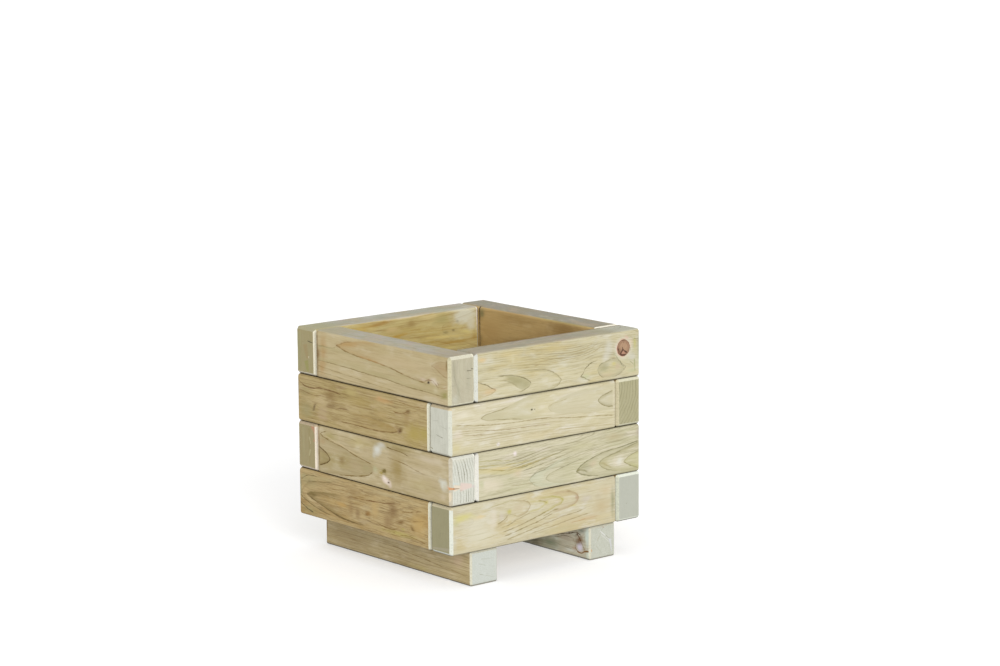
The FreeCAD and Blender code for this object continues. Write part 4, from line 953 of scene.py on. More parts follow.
                (92, 46, 22, 14, (148, 122, 72), 0.8), (92, 32, 22, 6, (134, 108, 64), 0.7, -8), (131, 25, 4, 7, (112, 92, 56), 0.95, 30), (133, 20, 5, 2.4, (120, 98, 60), 0.8), (126, 31, 3, 2.2, (116, 94, 56), 0.8), (112, 22, 20, 14, (188, 166, 124), 0.7), (112, 12, 16, 5, (186, 160, 124), 0.7), (45, 58, 26, 9, (192, 174, 114), 0.8), (26, 48, 40, 12, (178, 156, 94), 0.6),
                (140, 60, 34, 4, (172, 152, 104), 0.5), (-24, 36, 26, 8, (190, 166, 112), 0.6), (10, 30, 26, 6, (186, 162, 106), 0.5), (170, 46, 4, 18, (112, 88, 56), 0.95), (150, 18, 24, 18, (164, 152, 104), 0.8), (152, 46, 22, 14, (162, 148, 98), 0.6), (-30, 22, 40, 6, (172, 148, 88), 0.5), (80, 16, 22, 7, (152, 128, 76), 0.5)],
        end_early=(170, 163, 122), end_late=(140, 134, 92),
    ),
    "course_3_back_board": dict(
        halves=(None, (1.0, 0.94, 0.70)),
        seed=23, spacing=3.6, wave=1.2, crest=[(-127, 30), (172, 30)], core=[(-127, 0), (172, -2.4)], **WARM),
    "course_3_right_board": dict(
        halves=(None, (1.06, 0.88, 0.64)),
        seed=24, spacing=3.2, wave=0.6, crest=[(-172, 40), (127, 36)], core=[(-172, 0), (127, 2.6)],
        end_early=(190, 184, 142), end_late=(140, 132, 88), end_tone=(180, 174, 128), end_contrast=0.8, end_pale=(206, 202, 164),
        end_rings=(92, 60, 5.2), end_faint=0.4, end_fade=0.5, end_sub=0.0, bevel_top=1.2, **WARM),
    # second course
    "course_2_front_board": dict(
        joint_shade=(86, 78, 56),
        punch=1.15,
        zones=[
            ([(51, 16.5), (57, 21.5), (62, 24.5), (77, 30.3), (92, 34.5), (110, 37.8), (132, 39.5), (170, 44.5)], [(51, 16.5), (58, 12.8), (67, 9.5), (82, 6.2), (96, 4), (120, 2), (170, 1)], (180, 175, 136), 0.6, 0.0, 10.0, 0.6, 2),
            ([(93.5, 22.3), (100, 26.5), (112, 30.3), (127, 33), (152, 38.8), (171, 42.5)], [(93.5, 22.3), (97, 17.8), (105, 12.8), (117, 9), (130, 6), (171, 2)], (184, 178, 134), 0.6, 0.0, 9.0, 0.6, 2),
            ([(140, 17.8), (147, 22.8), (157, 26.8), (171, 30)], [(140, 17.8), (147, 13.5), (157, 9), (171, 4)], (186, 182, 128), 0.6, 0.3, 8.0, 0.6, 1),
            ([(-34, 17.8), (-30, 21.5), (-22, 25.3), (-7, 28), (4, 32), (18, 37), (40, 42)], [(-34, 17.8), (-31, 14), (-25, 9), (-16, 6), (10, 3), (40, 2)], (196, 197, 164), 0.6, 0.08, 10.0, 0.6, 24),
            ([(-4.5, 15), (0, 19), (10, 22.8), (27, 26.5), (52, 32)], [(-4.5, 15), (-1, 12), (6, 8.5), (20, 5), (52, 3)], (188, 182, 144), 0.6, 0.1, 6.0, 0.6, 20),
            ([(-126, 45.5), (-107, 42.8), (-90, 39), (-72, 37), (-55, 38), (-38, 39.5), (-10, 43.5)], [(-126, 39), (-107, 36), (-90, 33), (-72, 31), (-55, 32), (-38, 34), (-10, 38)], (208, 196, 138), 0.25, 0.45, 3.0, 2, 24),
        ],
        seed=31, spacing=3.0, depth=48, up=1.15, down=1.0, wave=0.7,
        crest=[(-127, 12), (-60, 16), (-4, 18), (51, 16), (92, 19), (140, 20), (172, 21)],
        core=[(-127, 6.3), (-60, 5.5), (-33, 5.0), (-4, 4.0), (51, 3.0), (92, 2.0), (140, 1.0), (172, 0.4)],
        early=(208, 202, 166), late=(142, 134, 96), tone=(198, 194, 154), pale=(222, 214, 186), contrast=0.72, faint=0.3, fade=0.2, dash=0.45, tone_amount=0.8, pale_amount=0.75,
        powers=[(0, 6, 500, 25, 0.1), (-20, 46, 70, 14, 1.7), (-110, 30, 40, 40, 0.4), (120, 52, 60, 14, 0.7)],
        lines=[
            ([(51, 16.5), (57, 21.5), (62, 24.5), (77, 30.3), (92, 34.5), (110, 37.8), (132, 39.5), (168, 44.5)], 1.8, (142, 137, 98), 0.75, 0.6, 3),
            ([(51, 16.5), (58, 12.8), (67, 9.5), (82, 6.2), (96, 4)], 1.8, (142, 137, 98), 0.7, 0.6, 8),
            ([(52, 16.5), (57, 18), (66, 16), (76, 11)], 3.6, (150, 144, 100), 0.7, 0.6, 10),
            ([(93.5, 22.3), (100, 26.5), (112, 30.3), (127, 33), (152, 38.8), (170, 42.5)], 2.0, (154, 148, 106), 0.68, 0.6, 2),
            ([(93.5, 22.3), (97, 17.8), (105, 12.8), (117, 9), (130, 6)], 1.7, (156, 150, 108), 0.65, 0.6, 8),
            ([(95, 22), (101, 21), (112, 15), (122, 11)], 3.2, (172, 164, 116), 0.5, 0.6, 10),
            ([(140, 17.8), (147, 22.8), (157, 26.8), (171, 30)], 1.7, (160, 154, 112), 0.7, 0.6, 1),
            ([(140, 17.8), (147, 13.5), (157, 9), (168, 5.5)], 1.7, (154, 148, 102), 0.8, 0.6, 2),
            ([(-34, 17.8), (-30, 21.5), (-22, 25.3), (-7, 28), (4, 32), (18, 37)], 1.4, (156, 154, 120), 0.75, 0.6, 14),
            ([(-34, 17.8), (-31, 14), (-25, 9), (-16, 6)], 1.2, (164, 162, 126), 0.65, 0.6, 6),
            ([(-4.5, 15), (0, 19), (10, 22.8), (27, 26.5), (52, 32), (70, 35)], 1.3, (158, 154, 118), 0.7, 0.6, 16),
            ([(-4.5, 15), (-1, 12), (6, 8.5)], 1.1, (166, 162, 126), 0.6, 0.6, 4),
            ([(-126, 45.5), (-107, 42.8), (-90, 39), (-72, 37), (-55, 38), (-38, 39.5), (-10, 43.5), (20, 48)], 2.0, (176, 164, 106), 0.75, 1, 20),
            ([(-126, 49.5), (-97, 47), (-72, 44.8), (-50, 44), (-30, 46)], 1.5, (178, 168, 108), 0.75, 1, 12),
            ([(-126, 56), (-97, 53.5), (-76, 50.5), (-60, 50)], 1.2, (176, 168, 112), 0.65, 1, 12),
            ([(-50, 31), (-20, 35), (10, 40), (50, 47.5)], 1.2, (150, 144, 104), 0.7, 8, 16),
            ([(-60, 36), (-30, 39), (0, 44.5), (46, 53)], 1.1, (150, 144, 104), 0.65, 8, 16),
            ([(-20, 28.5), (12, 33), (44, 40), (90, 46)], 1.1, (152, 148, 110), 0.6, 8, 20),
            ([(-70, 15.5), (-56, 13.5), (-42, 12.8), (-20, 12)], 1.1, (170, 160, 120), 0.6, 6, 8),
            ([(-96, 10.5), (-85, 10.2), (-60, 9)], 1.0, (176, 166, 126), 0.5, 6, 8),
        ],
        stains_and_shades=[(-59.5, 58, 4.6, 4.2, (238, 226, 218), 1.2), (-86, 41, 46, 4.5, (212, 194, 134), 0.8, -3), (-55, 31, 12, 10, (212, 194, 158), 0.7), (70, 17, 14, 7, (184, 180, 146), 0.8, 20), (66, 23, 12, 3, (150, 146, 104), 0.5, 25), (104, 20, 12, 8, (184, 174, 124), 0.8), (82, 24, 12, 8, (206, 190, 156), 0.7),
                (-18, 18, 20, 10, (204, 208, 178), 0.5), (132, 20, 9, 9, (220, 218, 196), 0.9), (160, 9, 12, 5, (192, 192, 134), 0.5), (163, 20, 12, 7, (194, 192, 142), 0.4), (-100, 20, 36, 14, (220, 210, 180), 0.8), (-118, 23, 6, 8, (184, 190, 140), 0.7), (122, 56, 26, 9, (192, 178, 136), 0.6), (60, 52, 50, 9, (196, 190, 144), 0.5), (168, 56, 6, 12, (180, 168, 150), 0.6), (150, 40, 20, 4, (206, 204, 178), 0.5)],
        end_early=(222, 222, 210), end_late=(160, 156, 128), end_pale=(236, 236, 228), end_contrast=0.75,
    ),
    "course_2_left_board": dict(
        joint_shade=(76, 62, 38),
        punch=1.35, fibre=0.6, end_faint=0.45, end_fade=0.5, end_sub=0.0, end_speck=0.5,
        zones=[
            ([(-4, 26), (7, 33), (27, 36), (47, 40), (67, 45), (90, 48.7), (110, 53), (122, 59)], [(-4, 26), (1, 19), (8, 15), (22, 11.4), (47, 7.3), (78, 4), (122, 2)], (168, 152, 108), 0.5, 0.25, 10.0, 3, 2),
            ([(95.5, 23.5), (101, 28.8), (110, 33.7), (121, 37.6)], [(95.5, 23.5), (101, 18.5), (110, 14.6), (121, 11)], (158, 140, 96), 0.6, 0.12, 7.0, 0.6, 1),
        ],
        seed=32, spacing=6.8, depth=50, up=1.0, down=1.45, wave=0.5,
        crest=[(-172, 30), (-60, 27), (-5, 25), (93, 23), (128, 24)], core=[(-172, 3.2), (-90, 2.2), (-5, 1.0), (50, 0.45), (93, 0.0), (128, -0.35)],
        early=(194, 178, 140), late=(122, 104, 64), tone=(180, 164, 116), pale=(208, 196, 164), contrast=0.5, faint=0.4, sub=0.2, line_mm=2.0, power=0.22, dash=0.16, tone_amount=0.85, pale_amount=0.7,
        lines=[
            ([(95.5, 23.5), (101, 28.8), (110, 33.7), (121, 37.6)], 2.4, (130, 112, 70), 0.95, 0.6, 1),
            ([(95.5, 23.5), (101, 18.5), (110, 14.6), (121, 11)], 2.4, (130, 112, 70), 0.95, 0.6, 1),
            ([(-2, 31), (7, 33), (27, 36), (47, 40), (67, 45), (90, 48.7), (110, 53), (118, 57)], 1.8, (150, 130, 84), 0.85, 8, 1),
            ([(18, 37.6), (47, 42.6), (67, 47.4), (90, 51.2), (108, 56)], 1.5, (206, 188, 146), 0.55, 8, 4),
            ([(104, 62), (109, 60.5), (114, 58.8), (118, 57)], 1.4, (150, 130, 84), 0.8, 3, 0.6),
            ([(-4, 21.5), (1, 19), (8, 15), (22, 11.4), (47, 7.3), (78, 4)], 1.8, (146, 126, 80), 0.8, 4, 10),
            ([(-84, 55), (-74, 57.5), (-62, 59.3), (-46, 60), (-32, 61.8)], 1.6, (136, 116, 70), 0.8, 5, 5),
            ([(-92, 41), (-72, 44), (-50, 46), (-34, 47.5)], 1.3, (146, 124, 78), 0.65, 5, 5),
            ([(-120, 36), (-104, 38), (-82, 42)], 1.2, (150, 130, 86), 0.55, 6, 6),
            ([(30, 58), (60, 60.5), (96, 60)], 1.1, (154, 138, 90), 0.5, 8, 8),
        ],
        bumps=[(-34, 14, 16, 7, 0.8, 25)],
        marks_face=[("up", -39, 12.2, -35.6, 12, 1.9, (104, 84, 64), 0.9), ("up", -40, 16.5, -36, 15, 0.9, (150, 124, 104), 0.6), ("up", -31, 29, -24, 24, 2.6, (122, 106, 56), 0.75)],
        stains_and_shades=[(-172.5, 25, 4, 7, (222, 226, 214), 0.9, 0, 40, 20), (-172.5, 64, 4, 5, (228, 224, 208), 0.8, 0, 26, 16),
                (127.5, 54, 9, 16, (186, 152, 122), 1.3), (121.4, 34, 2.6, 60, (132, 112, 78), 0.9),
                (-13, 54, 11, 13, (214, 212, 200), 1.2, 70), (-22, 62, 14, 6, (206, 202, 188), 1.0), (-6, 46, 7, 10, (200, 196, 178), 0.7), (-32, 14, 16, 7.5, (230, 215, 200), 1.6, 22), (-37, 12, 3, 2.2, (126, 106, 84), 1.3), (-28, 18, 5, 3, (240, 234, 226), 1.0, 25), (-42, 8, 5, 2.5, (214, 194, 176), 0.8),
                (-28, 26.5, 7, 5, (136, 120, 62), 1.2), (-20, 22.5, 7, 3, (170, 152, 76), 1.1), (-58, 34, 26, 34, (166, 146, 92), 0.8), (-158, 29, 14, 12, (218, 216, 202), 1.1, 50), (-160, 26, 6, 6, (190, 176, 136), 0.9), (-156, 12, 12, 6, (208, 194, 166), 0.7), (-170, 27, 7, 3, (218, 150, 98), 1.2),
                (-130, 58, 50, 8, (208, 194, 166), 0.8), (-108, 40, 40, 10, (202, 186, 152), 0.5), (-110, 20, 40, 16, (190, 174, 128), 0.6), (95, 56, 26, 9, (172, 158, 102), 0.7), (68, 26, 12, 9, (158, 136, 90), 0.9), (40, 25, 20, 12, (186, 168, 130), 0.7), (108, 24, 12, 10, (170, 156, 110), 0.6), (30, 58, 34, 10, (196, 180, 128), 0.6), (12, 24, 14, 8, (180, 170, 128), 0.7), (-8, 26, 10, 7, (188, 184, 146), 0.7), (-60, 62, 34, 4, (150, 132, 84), 0.7), (112, 46, 12, 6, (188, 160, 118), 0.6)],
        end_early=(226, 225, 214), end_late=(140, 136, 116), end_contrast=0.84, end_tone=(216, 216, 204), end_pale=(242, 241, 234), end_rings=(-90, 20, 4.5),
        marks_end=[("qp", 3, 27, 43, 26, 11.0, (220, 222, 210), 0.6), ("qp", 6, 25.8, 20, 25.6, 6.0, (244, 224, 200), 0.8), ("qp", 17, 26, 37, 25.2, 8.0, (235, 211, 201), 0.85), ("qp", 2, 25.3, 7.5, 24.9, 2.8, (208, 144, 90), 0.95), ("qp", 7, 24.9, 15.5, 24.2, 1.3, (164, 136, 112), 0.75), ("qp", 17, 21.4, 21, 21.2, 1.5, (196, 172, 152), 0.5), ("qp", 38, 24, 44, 24, 2.6, (216, 190, 196), 0.6), ("qp", 0, 33, 14, 31, 2.0, (214, 222, 218), 0.7)],
        marks_bevel=[("qn", -1.5, 25.6, 5.5, 25.2, 3.0, (214, 152, 100), 0.9), ("qn", 1.0, 20, 1.5, 8, 2.6, (236, 218, 188), 0.6)],
        bevel_q=1.5, bevel_far=1.4, edges=[("outer", (207, 199, 178))],
    ),
    "course_2_back_board": dict(
        halves=(None, (1.0, 0.94, 0.70)),
        seed=33, spacing=3.4, wave=1.0, crest=[(-172, 36), (127, 28)], core=[(-172, 0), (127, 2.2)],
        end_early=(172, 160, 120), end_late=(150, 138, 98), end_tone=(162, 154, 112), end_pale=(190, 180, 146), end_contrast=0.3,
        marks_end=[("qp", 36, 65, 43, 55, 6.0, (200, 142, 112), 0.75), ("qp", 38, 62, 42, 44, 2.6, (190, 156, 124), 0.5), ("qp", 38, 45, 44, 42, 3.2, (202, 148, 116), 0.6), ("qp", 28, 60, 28, 8, 3.4, (158, 146, 98), 0.5), ("qp", 28, 48, 31, 38, 1.8, (200, 192, 156), 0.6), ("qp", 30, 30, 27, 20, 2.4, (196, 188, 150), 0.6), ("qp", 14, 60, 15, 14, 4.0, (176, 168, 128), 0.5), ("qp", 3, 60, 4, 8, 3.0, (182, 172, 136), 0.6)],
        bevel_q=1.15, **WARM),
    "course_2_right_board": dict(
        halves=(None, (1.06, 0.88, 0.64)),
        seed=34, spacing=3.7, wave=0.9, crest=[(-127, 26), (172, 40)], core=[(-127, 0), (172, -3.3)], **WARM),
    # bottom course
    "course_1_front_board": dict(
        joint_shade=(58, 50, 32),
        punch=1.22, fibre=0.7,
        zones=[
            ([(0, 62), (30, 60.3), (40, 58.5), (47, 56), (53, 52), (56, 47)], [(0, 33), (32, 35), (38, 36.8), (45, 38.5), (52, 42), (56, 47)], (190, 170, 130), 0.6, 0.0, 6.0, 20, 0.6),
            ([(-20, 60), (2, 57.3), (15, 54.8), (23, 52), (27.5, 48)], [(-20, 33), (2, 37.3), (12, 41), (23, 44), (27.5, 48)], (196, 184, 122), 0.7, 0.0, 5.0, 14, 0.6),
            ([(-40, 57), (-20, 54.5), (-13, 53.5), (-7, 51.5), (-2, 48.5)], [(-40, 40), (-20, 41), (-13, 43), (-7, 45.5), (-2, 48.5)], (198, 186, 124), 0.6, 0.1, 4.0, 12, 0.6),
            ([(-60, 62), (-50, 60), (-40, 57), (-34, 53.5), (-32, 49.8)], [(-60, 36), (-45, 39), (-40, 41), (-36, 44), (-32, 49.8)], (188, 170, 128), 0.6, 0.0, 5.0, 12, 0.6),
            ([(-92, 33), (-84, 35), (-77, 38.5), (-72, 43)], [(-92, 28), (-84, 30), (-77, 33), (-72, 36)], (200, 184, 140), 0.7, 0.4, 4.0, 2, 2),
        ],
        seed=41, spacing=2.7, depth=46, up=1.0, down=1.15, wave=0.8,
        crest=[(-172, 42), (-73, 46), (-35, 48), (-5, 50), (27, 49), (53, 46), (127, 44)],
        core=[(-172, -1.6), (-73, 0.0), (-35, 1.0), (-5, 2.0), (27, 3.0), (53, 4.0), (127, 5.4)],
        early=(214, 203, 166), late=(162, 142, 98), tone=(212, 196, 148), pale=(226, 219, 194), contrast=0.4, faint=0.3, fade=0.15, dash=0.34, tone_amount=0.85, pale_amount=0.8, power=0.45,
        lines=[
            ([(30, 60.3), (40, 58.5), (47, 56), (53, 52), (56, 47)], 3.0, (182, 163, 118), 0.70, 8, 0.6),
            ([(32, 35), (38, 36.8), (45, 38.5), (52, 42), (56, 47)], 2.2, (186, 167, 124), 0.61, 5, 0.6),
            ([(2, 57.3), (15, 54.8), (23, 52), (27.5, 48)], 2.4, (188, 179, 108), 0.70, 8, 0.6),
            ([(2, 37.3), (12, 41), (23, 44), (27.5, 48)], 1.7, (186, 175, 112), 0.61, 4, 0.6),
            ([(-20, 54.5), (-13, 53.5), (-7, 51.5), (-2, 48.5)], 1.8, (176, 163, 104), 0.61, 5, 0.6),
            ([(-50, 60), (-40, 57), (-34, 53.5), (-32, 49.8)], 1.6, (176, 161, 112), 0.57, 6, 0.6),
            ([(-45, 39), (-40, 41), (-36, 44), (-32, 49.8)], 1.5, (176, 161, 112), 0.61, 4, 0.6),
            ([(-92, 33), (-84, 35), (-77, 38.5), (-72, 43)], 1.5, (166, 151, 104), 0.66, 3, 2),
            ([(-85, 26), (-72, 28.5), (-60, 32.3), (-45, 36.5), (-32, 40)], 1.4, (164, 151, 104), 0.70, 4, 3),
            ([(-83, 20), (-65, 22.5), (-47, 26), (-32, 29.5), (-17, 33.5), (2, 38)], 1.5, (162, 147, 100), 0.70, 4, 3),
            ([(-80, 14), (-60, 17), (-42, 20.5), (-25, 24), (-10, 27.3), (8, 32.3)], 1.4, (162, 147, 100), 0.70, 4, 3),
            ([(-76, 8), (-56, 11.5), (-37, 14.8), (-15, 18.5), (3, 21.5), (28, 25), (52, 27.5), (72, 31)], 1.4, (166, 151, 104), 0.66, 4, 8),
            ([(-34, 9.8), (-14, 11.8), (3, 13.8), (28, 17), (52, 20), (80, 22.3)], 1.3, (168, 153, 106), 0.61, 5, 8),
            ([(-70, 44), (-58, 39), (-48, 35)], 1.0, (178, 165, 118), 0.45, 3, 3),
            ([(-10, 31), (0, 33.5), (10, 36.5), (20, 37)], 1.7, (164, 149, 96), 0.61, 3, 5),
            ([(-128, 15), (-104, 17), (-90, 19)], 1.0, (182, 171, 124), 0.49, 6, 3),
            ([(40, 14), (60, 14.5), (78, 15.5), (92, 16)], 1.6, (194, 165, 118), 0.61, 6, 4),
            ([(-110, 57), (-86, 60), (-60, 62.5)], 1.1, (176, 165, 112), 0.49, 6, 8),
            ([(-66, 62), (-54, 59), (-46, 56)], 1.1, (184, 171, 122), 0.49, 4, 3),
            ([(-150, 25), (-120, 24), (-98, 26)], 0.9, (198, 191, 152), 0.41, 8, 8),
        ],
        stains_and_shades=[(-70, 46.5, 6, 5.5, (202, 192, 112), 1.1), (-152, 51, 30, 8, (216, 206, 138), 1.1), (-164, 44, 9, 5, (196, 190, 130), 0.6), (-122, 47.5, 15, 4, (226, 202, 146), 1.0), (-3, 49.5, 5, 4, (204, 192, 120), 1.0), (26, 49, 4, 5, (198, 188, 116), 0.9), (45, 38, 12, 2.5, (210, 200, 120), 0.9, 6),
                (53, 48, 5, 9, (190, 162, 128), 0.9), (70, 44, 16, 8, (208, 196, 172), 0.7), (92, 44, 10, 6, (198, 184, 148), 0.6), (76, 16, 24, 6, (208, 182, 142), 0.5), (98, 28, 26, 18, (205, 187, 144), 0.9), (44, 18, 40, 18, (206, 189, 148), 0.6), (-128, 34, 40, 26, (226, 219, 192), 0.6), (106, 50, 18, 12, (212, 192, 150), 0.6), (30, 40, 26, 5, (208, 192, 158), 0.6), (-120, 20, 50, 20, (222, 214, 184), 0.9), (-98, 40, 10, 26, (224, 212, 184), 0.8), (-84, 42, 7, 8, (214, 204, 186), 0.6), (-54, 50, 16, 9, (208, 192, 156), 0.6), (8, 56, 8, 4, (222, 210, 180), 0.6), (16, 47, 6, 3, (224, 210, 190), 0.7),
                (119, 32, 5, 34, (168, 164, 126), 0.9), (20, 8, 60, 4, (196, 186, 140), 0.5), (-40, 20, 30, 12, (212, 200, 160), 0.4), (-166, 20, 6, 24, (212, 204, 176), 0.6)],
        end_early=(162, 159, 126), end_late=(142, 138, 104), end_pale=(172, 169, 138), end_contrast=0.15, end_tone=(154, 151, 117),
        marks_end=[("qp", 22, 30, 24, 24, 1.0, (140, 136, 106), 0.6), ("qp", 17, 31, 18, 27, 0.9, (142, 138, 108), 0.6), ("qp", 4, 9, 43, 6, 3.0, (176, 170, 150), 0.6), ("qp", 42, 62, 44, 8, 2.4, (128, 122, 86), 0.6)],
    ),
    "course_1_left_board": dict(
        joint_shade=(80, 66, 38),
        punch=1.3,
        zones=[
            ([(60, 46), (77, 44), (92, 42.5), (107, 41), (127, 38.5), (142, 36), (152, 31.5)], [(60, 10.5), (77, 12.3), (102, 17.3), (122, 22.3), (140, 27.3), (152, 31.5)], (150, 128, 78), 0.7, 0.0, 11.0, 34, 0.6),
            ([(100, 56), (127, 54), (145, 50), (158, 44), (166, 34)], [(60, 6), (96, 10.5), (112, 12), (127, 14.8), (147, 20), (158, 26), (166, 34)], (164, 142, 94), 0.6, 0.0, 6.0, 12, 0.6),
        ],
        seed=42, spacing=4.6, depth=50, up=1.15, down=1.22, wave=1.0,
        crest=[(-127, 32), (15, 28), (75, 29), (120, 32), (150, 33), (172, 34)], core=[(-127, -4.2), (-50, -3.0), (15, -2.0), (78, -1.0), (120, -0.42), (150, 0.0), (172, 0.5)],
        early=(190, 166, 116), late=(120, 94, 54), tone=(178, 150, 94), pale=(204, 184, 138), contrast=0.55, faint=0.3, fibre=1.2, fade=0.2, dash=0.7, tone_amount=0.9, pale_amount=0.7, power=0.5,
        bumps=[(10, 28, 13, 6, 0.7), (-68, 28, 13, 7, 0.7), (-88, 22, 9, 5, -0.6), (-45, 45, 18, 10, 0.6)],
        lines=[
            ([(77, 44), (92, 42.5), (107, 41), (127, 38.5), (142, 36), (152, 31.5)], 2.4, (146, 126, 76), 0.55, 26, 0.6),
            ([(15, 9), (52, 10), (77, 12.3), (102, 17.3), (122, 22.3), (140, 27.3), (152, 31.5)], 2.3, (132, 110, 64), 0.75, 14, 0.6),
            ([(96, 10.5), (112, 12), (127, 14.8), (147, 20), (168, 28.5)], 1.7, (138, 118, 74), 0.75, 6, 1),
            ([(137, 7), (152, 11), (167, 17.3), (171, 19)], 1.8, (120, 104, 66), 0.85, 3, 1),
            ([(92, 58.5), (115, 54.8), (140, 51.5), (153, 48.5)], 1.4, (142, 122, 76), 0.65, 6, 2),
            ([(127, 61), (140, 60.3), (152, 58.5), (166, 51)], 1.5, (138, 118, 74), 0.75, 4, 2),
            ([(-110, 51.5), (-95, 49), (-80, 46), (-66, 44)], 1.4, (146, 116, 66), 0.75, 4, 3),
            ([(-66, 55), (-50, 52.5), (-35, 49.8), (-10, 48), (12, 46)], 1.5, (140, 110, 66), 0.8, 5, 6),
            ([(0, 47.3), (18, 46), (40, 45.5), (60, 43)], 1.4, (144, 114, 66), 0.7, 5, 8),
            ([(-116, 40), (-100, 36), (-88, 34)], 1.2, (152, 122, 70), 0.6, 4, 4),
            ([(-60, 20), (-40, 15.5), (-22, 17), (-8, 19.5)], 1.5, (142, 112, 62), 0.7, 6, 5),
            ([(-118, 8), (-96, 11), (-80, 12.5), (-60, 10)], 1.4, (146, 118, 64), 0.7, 4, 5),
            ([(-52, 12), (-36, 12), (-20, 12.5)], 1.3, (150, 122, 74), 0.65, 4, 4),
            ([(60, 52), (84, 50), (104, 47.5)], 1.2, (152, 126, 76), 0.55, 8, 8),
        ],
        stains_and_shades=[(139, 33.5, 15, 5, (128, 108, 60), 1.1, 4), (148, 32, 6, 3, (108, 88, 48), 0.9), (146, 51.5, 7, 2.2, (124, 100, 62), 1.0), (10, 28, 10, 5.5, (158, 122, 66), 1.1), (14, 26, 5, 3, (134, 104, 58), 0.8), (-46, 42, 17, 24, (150, 122, 78), 0.85, -10), (-34, 24, 15, 18, (158, 130, 86), 0.7), (34, 24, 9, 12, (154, 126, 84), 0.7), (49, 28, 9, 18, (160, 132, 88), 0.6), (44, 52, 24, 13, (162, 136, 88), 0.7),
                (-64, 29, 12, 5, (142, 112, 62), 1.0, -12), (-90, 23.5, 7, 4, (128, 100, 52), 1.1, 30), (-68, 20, 7, 3, (176, 160, 78), 0.7), (-105, 34, 30, 26, (198, 168, 108), 0.9), (-5, 38, 14, 22, (198, 170, 114), 0.8), (70, 30, 22, 5, (196, 162, 98), 0.9), (-60, 12, 60, 5, (190, 176, 104), 0.8), (-40, 62, 70, 4, (198, 182, 140), 0.7), (66, 40, 20, 10, (190, 164, 112), 0.6), (92, 30, 16, 8, (190, 164, 108), 0.6), (112, 60, 40, 4, (186, 172, 126), 0.6),
                (168, 38, 6, 26, (158, 152, 112), 0.9), (146, 52, 30, 16, (174, 160, 112), 0.7), (144, 10, 30, 10, (172, 158, 108), 0.6), (160, 56, 8, 8, (176, 166, 124), 0.6), (-122, 40, 5, 26, (184, 150, 96), 0.6), (120, 16, 12, 3, (134, 108, 72), 0.7, 15), (130, 50, 36, 8, (182, 160, 114), 0.5), (20, 15, 20, 5, (184, 164, 126), 0.6)],
        end_early=(160, 155, 116), end_late=(140, 134, 94),
    ),
    "course_1_back_board": dict(
        halves=(None, (1.0, 0.94, 0.70)),
        seed=43, spacing=3.5, wave=1.0, crest=[(-127, 40), (172, 30)], core=[(-127, 0), (172, -2.7)], **WARM),
    "course_1_right_board": dict(
        halves=(None, (1.06, 0.88, 0.64)),
        seed=44, spacing=3.3, wave=0.8, crest=[(-172, 30), (127, 36)], core=[(-172, 0), (127, 3.1)],
        end_early=(193, 197, 181), end_late=(184, 187, 170), end_tone=(188, 192, 175), end_pale=(200, 203, 188), end_contrast=0.1,
        marks_end=[("qp", 28, 25, 25.5, 25.5, 0.9, (160, 162, 140), 0.7)], bevel_top=1.25, **WARM),
    # runners
    "left_runner": dict(
        punch=1.2, foot_shade=0.95, end_speck=0.7,
        seed=51, spacing=3.6, depth=50, up=1.0, down=1.0, wave=0.8, crest=[(-170, 60), (0, 66), (160, 62)], core=[(-170, 0), (0, -1.2), (160, -0.4)],
        early=(184, 168, 124), late=(132, 112, 70), tone=(170, 152, 106), pale=(202, 188, 152), contrast=0.55, dash=0.55,
        stains_and_shades=[(-140, 32, 22, 16, (194, 172, 140), 0.7), (-120, 40, 12, 8, (178, 156, 112), 0.6), (60, 44, 170, 7, (140, 120, 82), 0.7), (100, 20, 90, 26, (160, 142, 100), 0.5), (156, 24, 4, 26, (128, 100, 66), 0.9), (-60, 6, 40, 4, (190, 176, 120), 0.6)],
        lines=[([(-110, 16), (-70, 20), (-30, 23), (4, 26)], 1.3, (140, 120, 76), 0.7, 8, 4), ([(-80, 12), (-40, 15), (0, 17)], 1.0, (146, 126, 82), 0.6, 8, 8), ([(60, 17), (100, 18), (150, 16)], 1.0, (140, 120, 80), 0.5, 10, 8), ([(-160, 12), (-130, 16), (-100, 17)], 1.0, (150, 130, 86), 0.6, 6, 8)],
        end_early=(212, 214, 202), end_late=(182, 186, 168), end_tone=(204, 207, 192), end_pale=(238, 240, 234), end_contrast=0.2,
        marks_end=[("qp", 14, 30, 26, 26, 0.8, (178, 178, 158), 0.6), ("qp", 18, 36, 40, 34, 0.8, (188, 188, 170), 0.6), ("qp", 16, 15, 23, 13, 0.9, (170, 170, 148), 0.7), ("qp", 26, 12, 40, 8, 0.8, (188, 188, 170), 0.6)],
    ),
    "right_runner": dict(
        punch=1.25, foot_shade=0.95, end_speck=0.75,
        halves=(None, (0.94, 0.87, 0.68)),
        seed=52, spacing=3.0, wave=1.0, depth=40, crest=[(-170, 20), (-152, 19), (160, 26)], core=[(-170, -1.0), (-152, 0.4), (-120, -0.2), (160, -1.5)],
        early=(188, 172, 146), late=(134, 116, 90), tone=(176, 160, 132), pale=(208, 202, 184), contrast=0.6, dash=0.5, power=0.8,
        bumps=[(-152, 18, 12, 12, 1.6)],
        lines=[([(-150, 33), (-142, 36), (-128, 33), (-104, 27), (-80, 22)], 1.4, (104, 84, 62), 0.8, 2, 12), ([(-158, 14), (-152, 22), (-146, 30), (-141, 35)], 2.6, (112, 82, 54), 0.95, 1, 1), ([(-140, 14), (-136, 22), (-133, 26)], 2.6, (150, 122, 96), 0.7, 1, 2), ([(-167, 13), (-160, 12), (-150, 8), (-143, 9), (-138, 14)], 2.2, (138, 106, 74), 0.9, 1, 1),
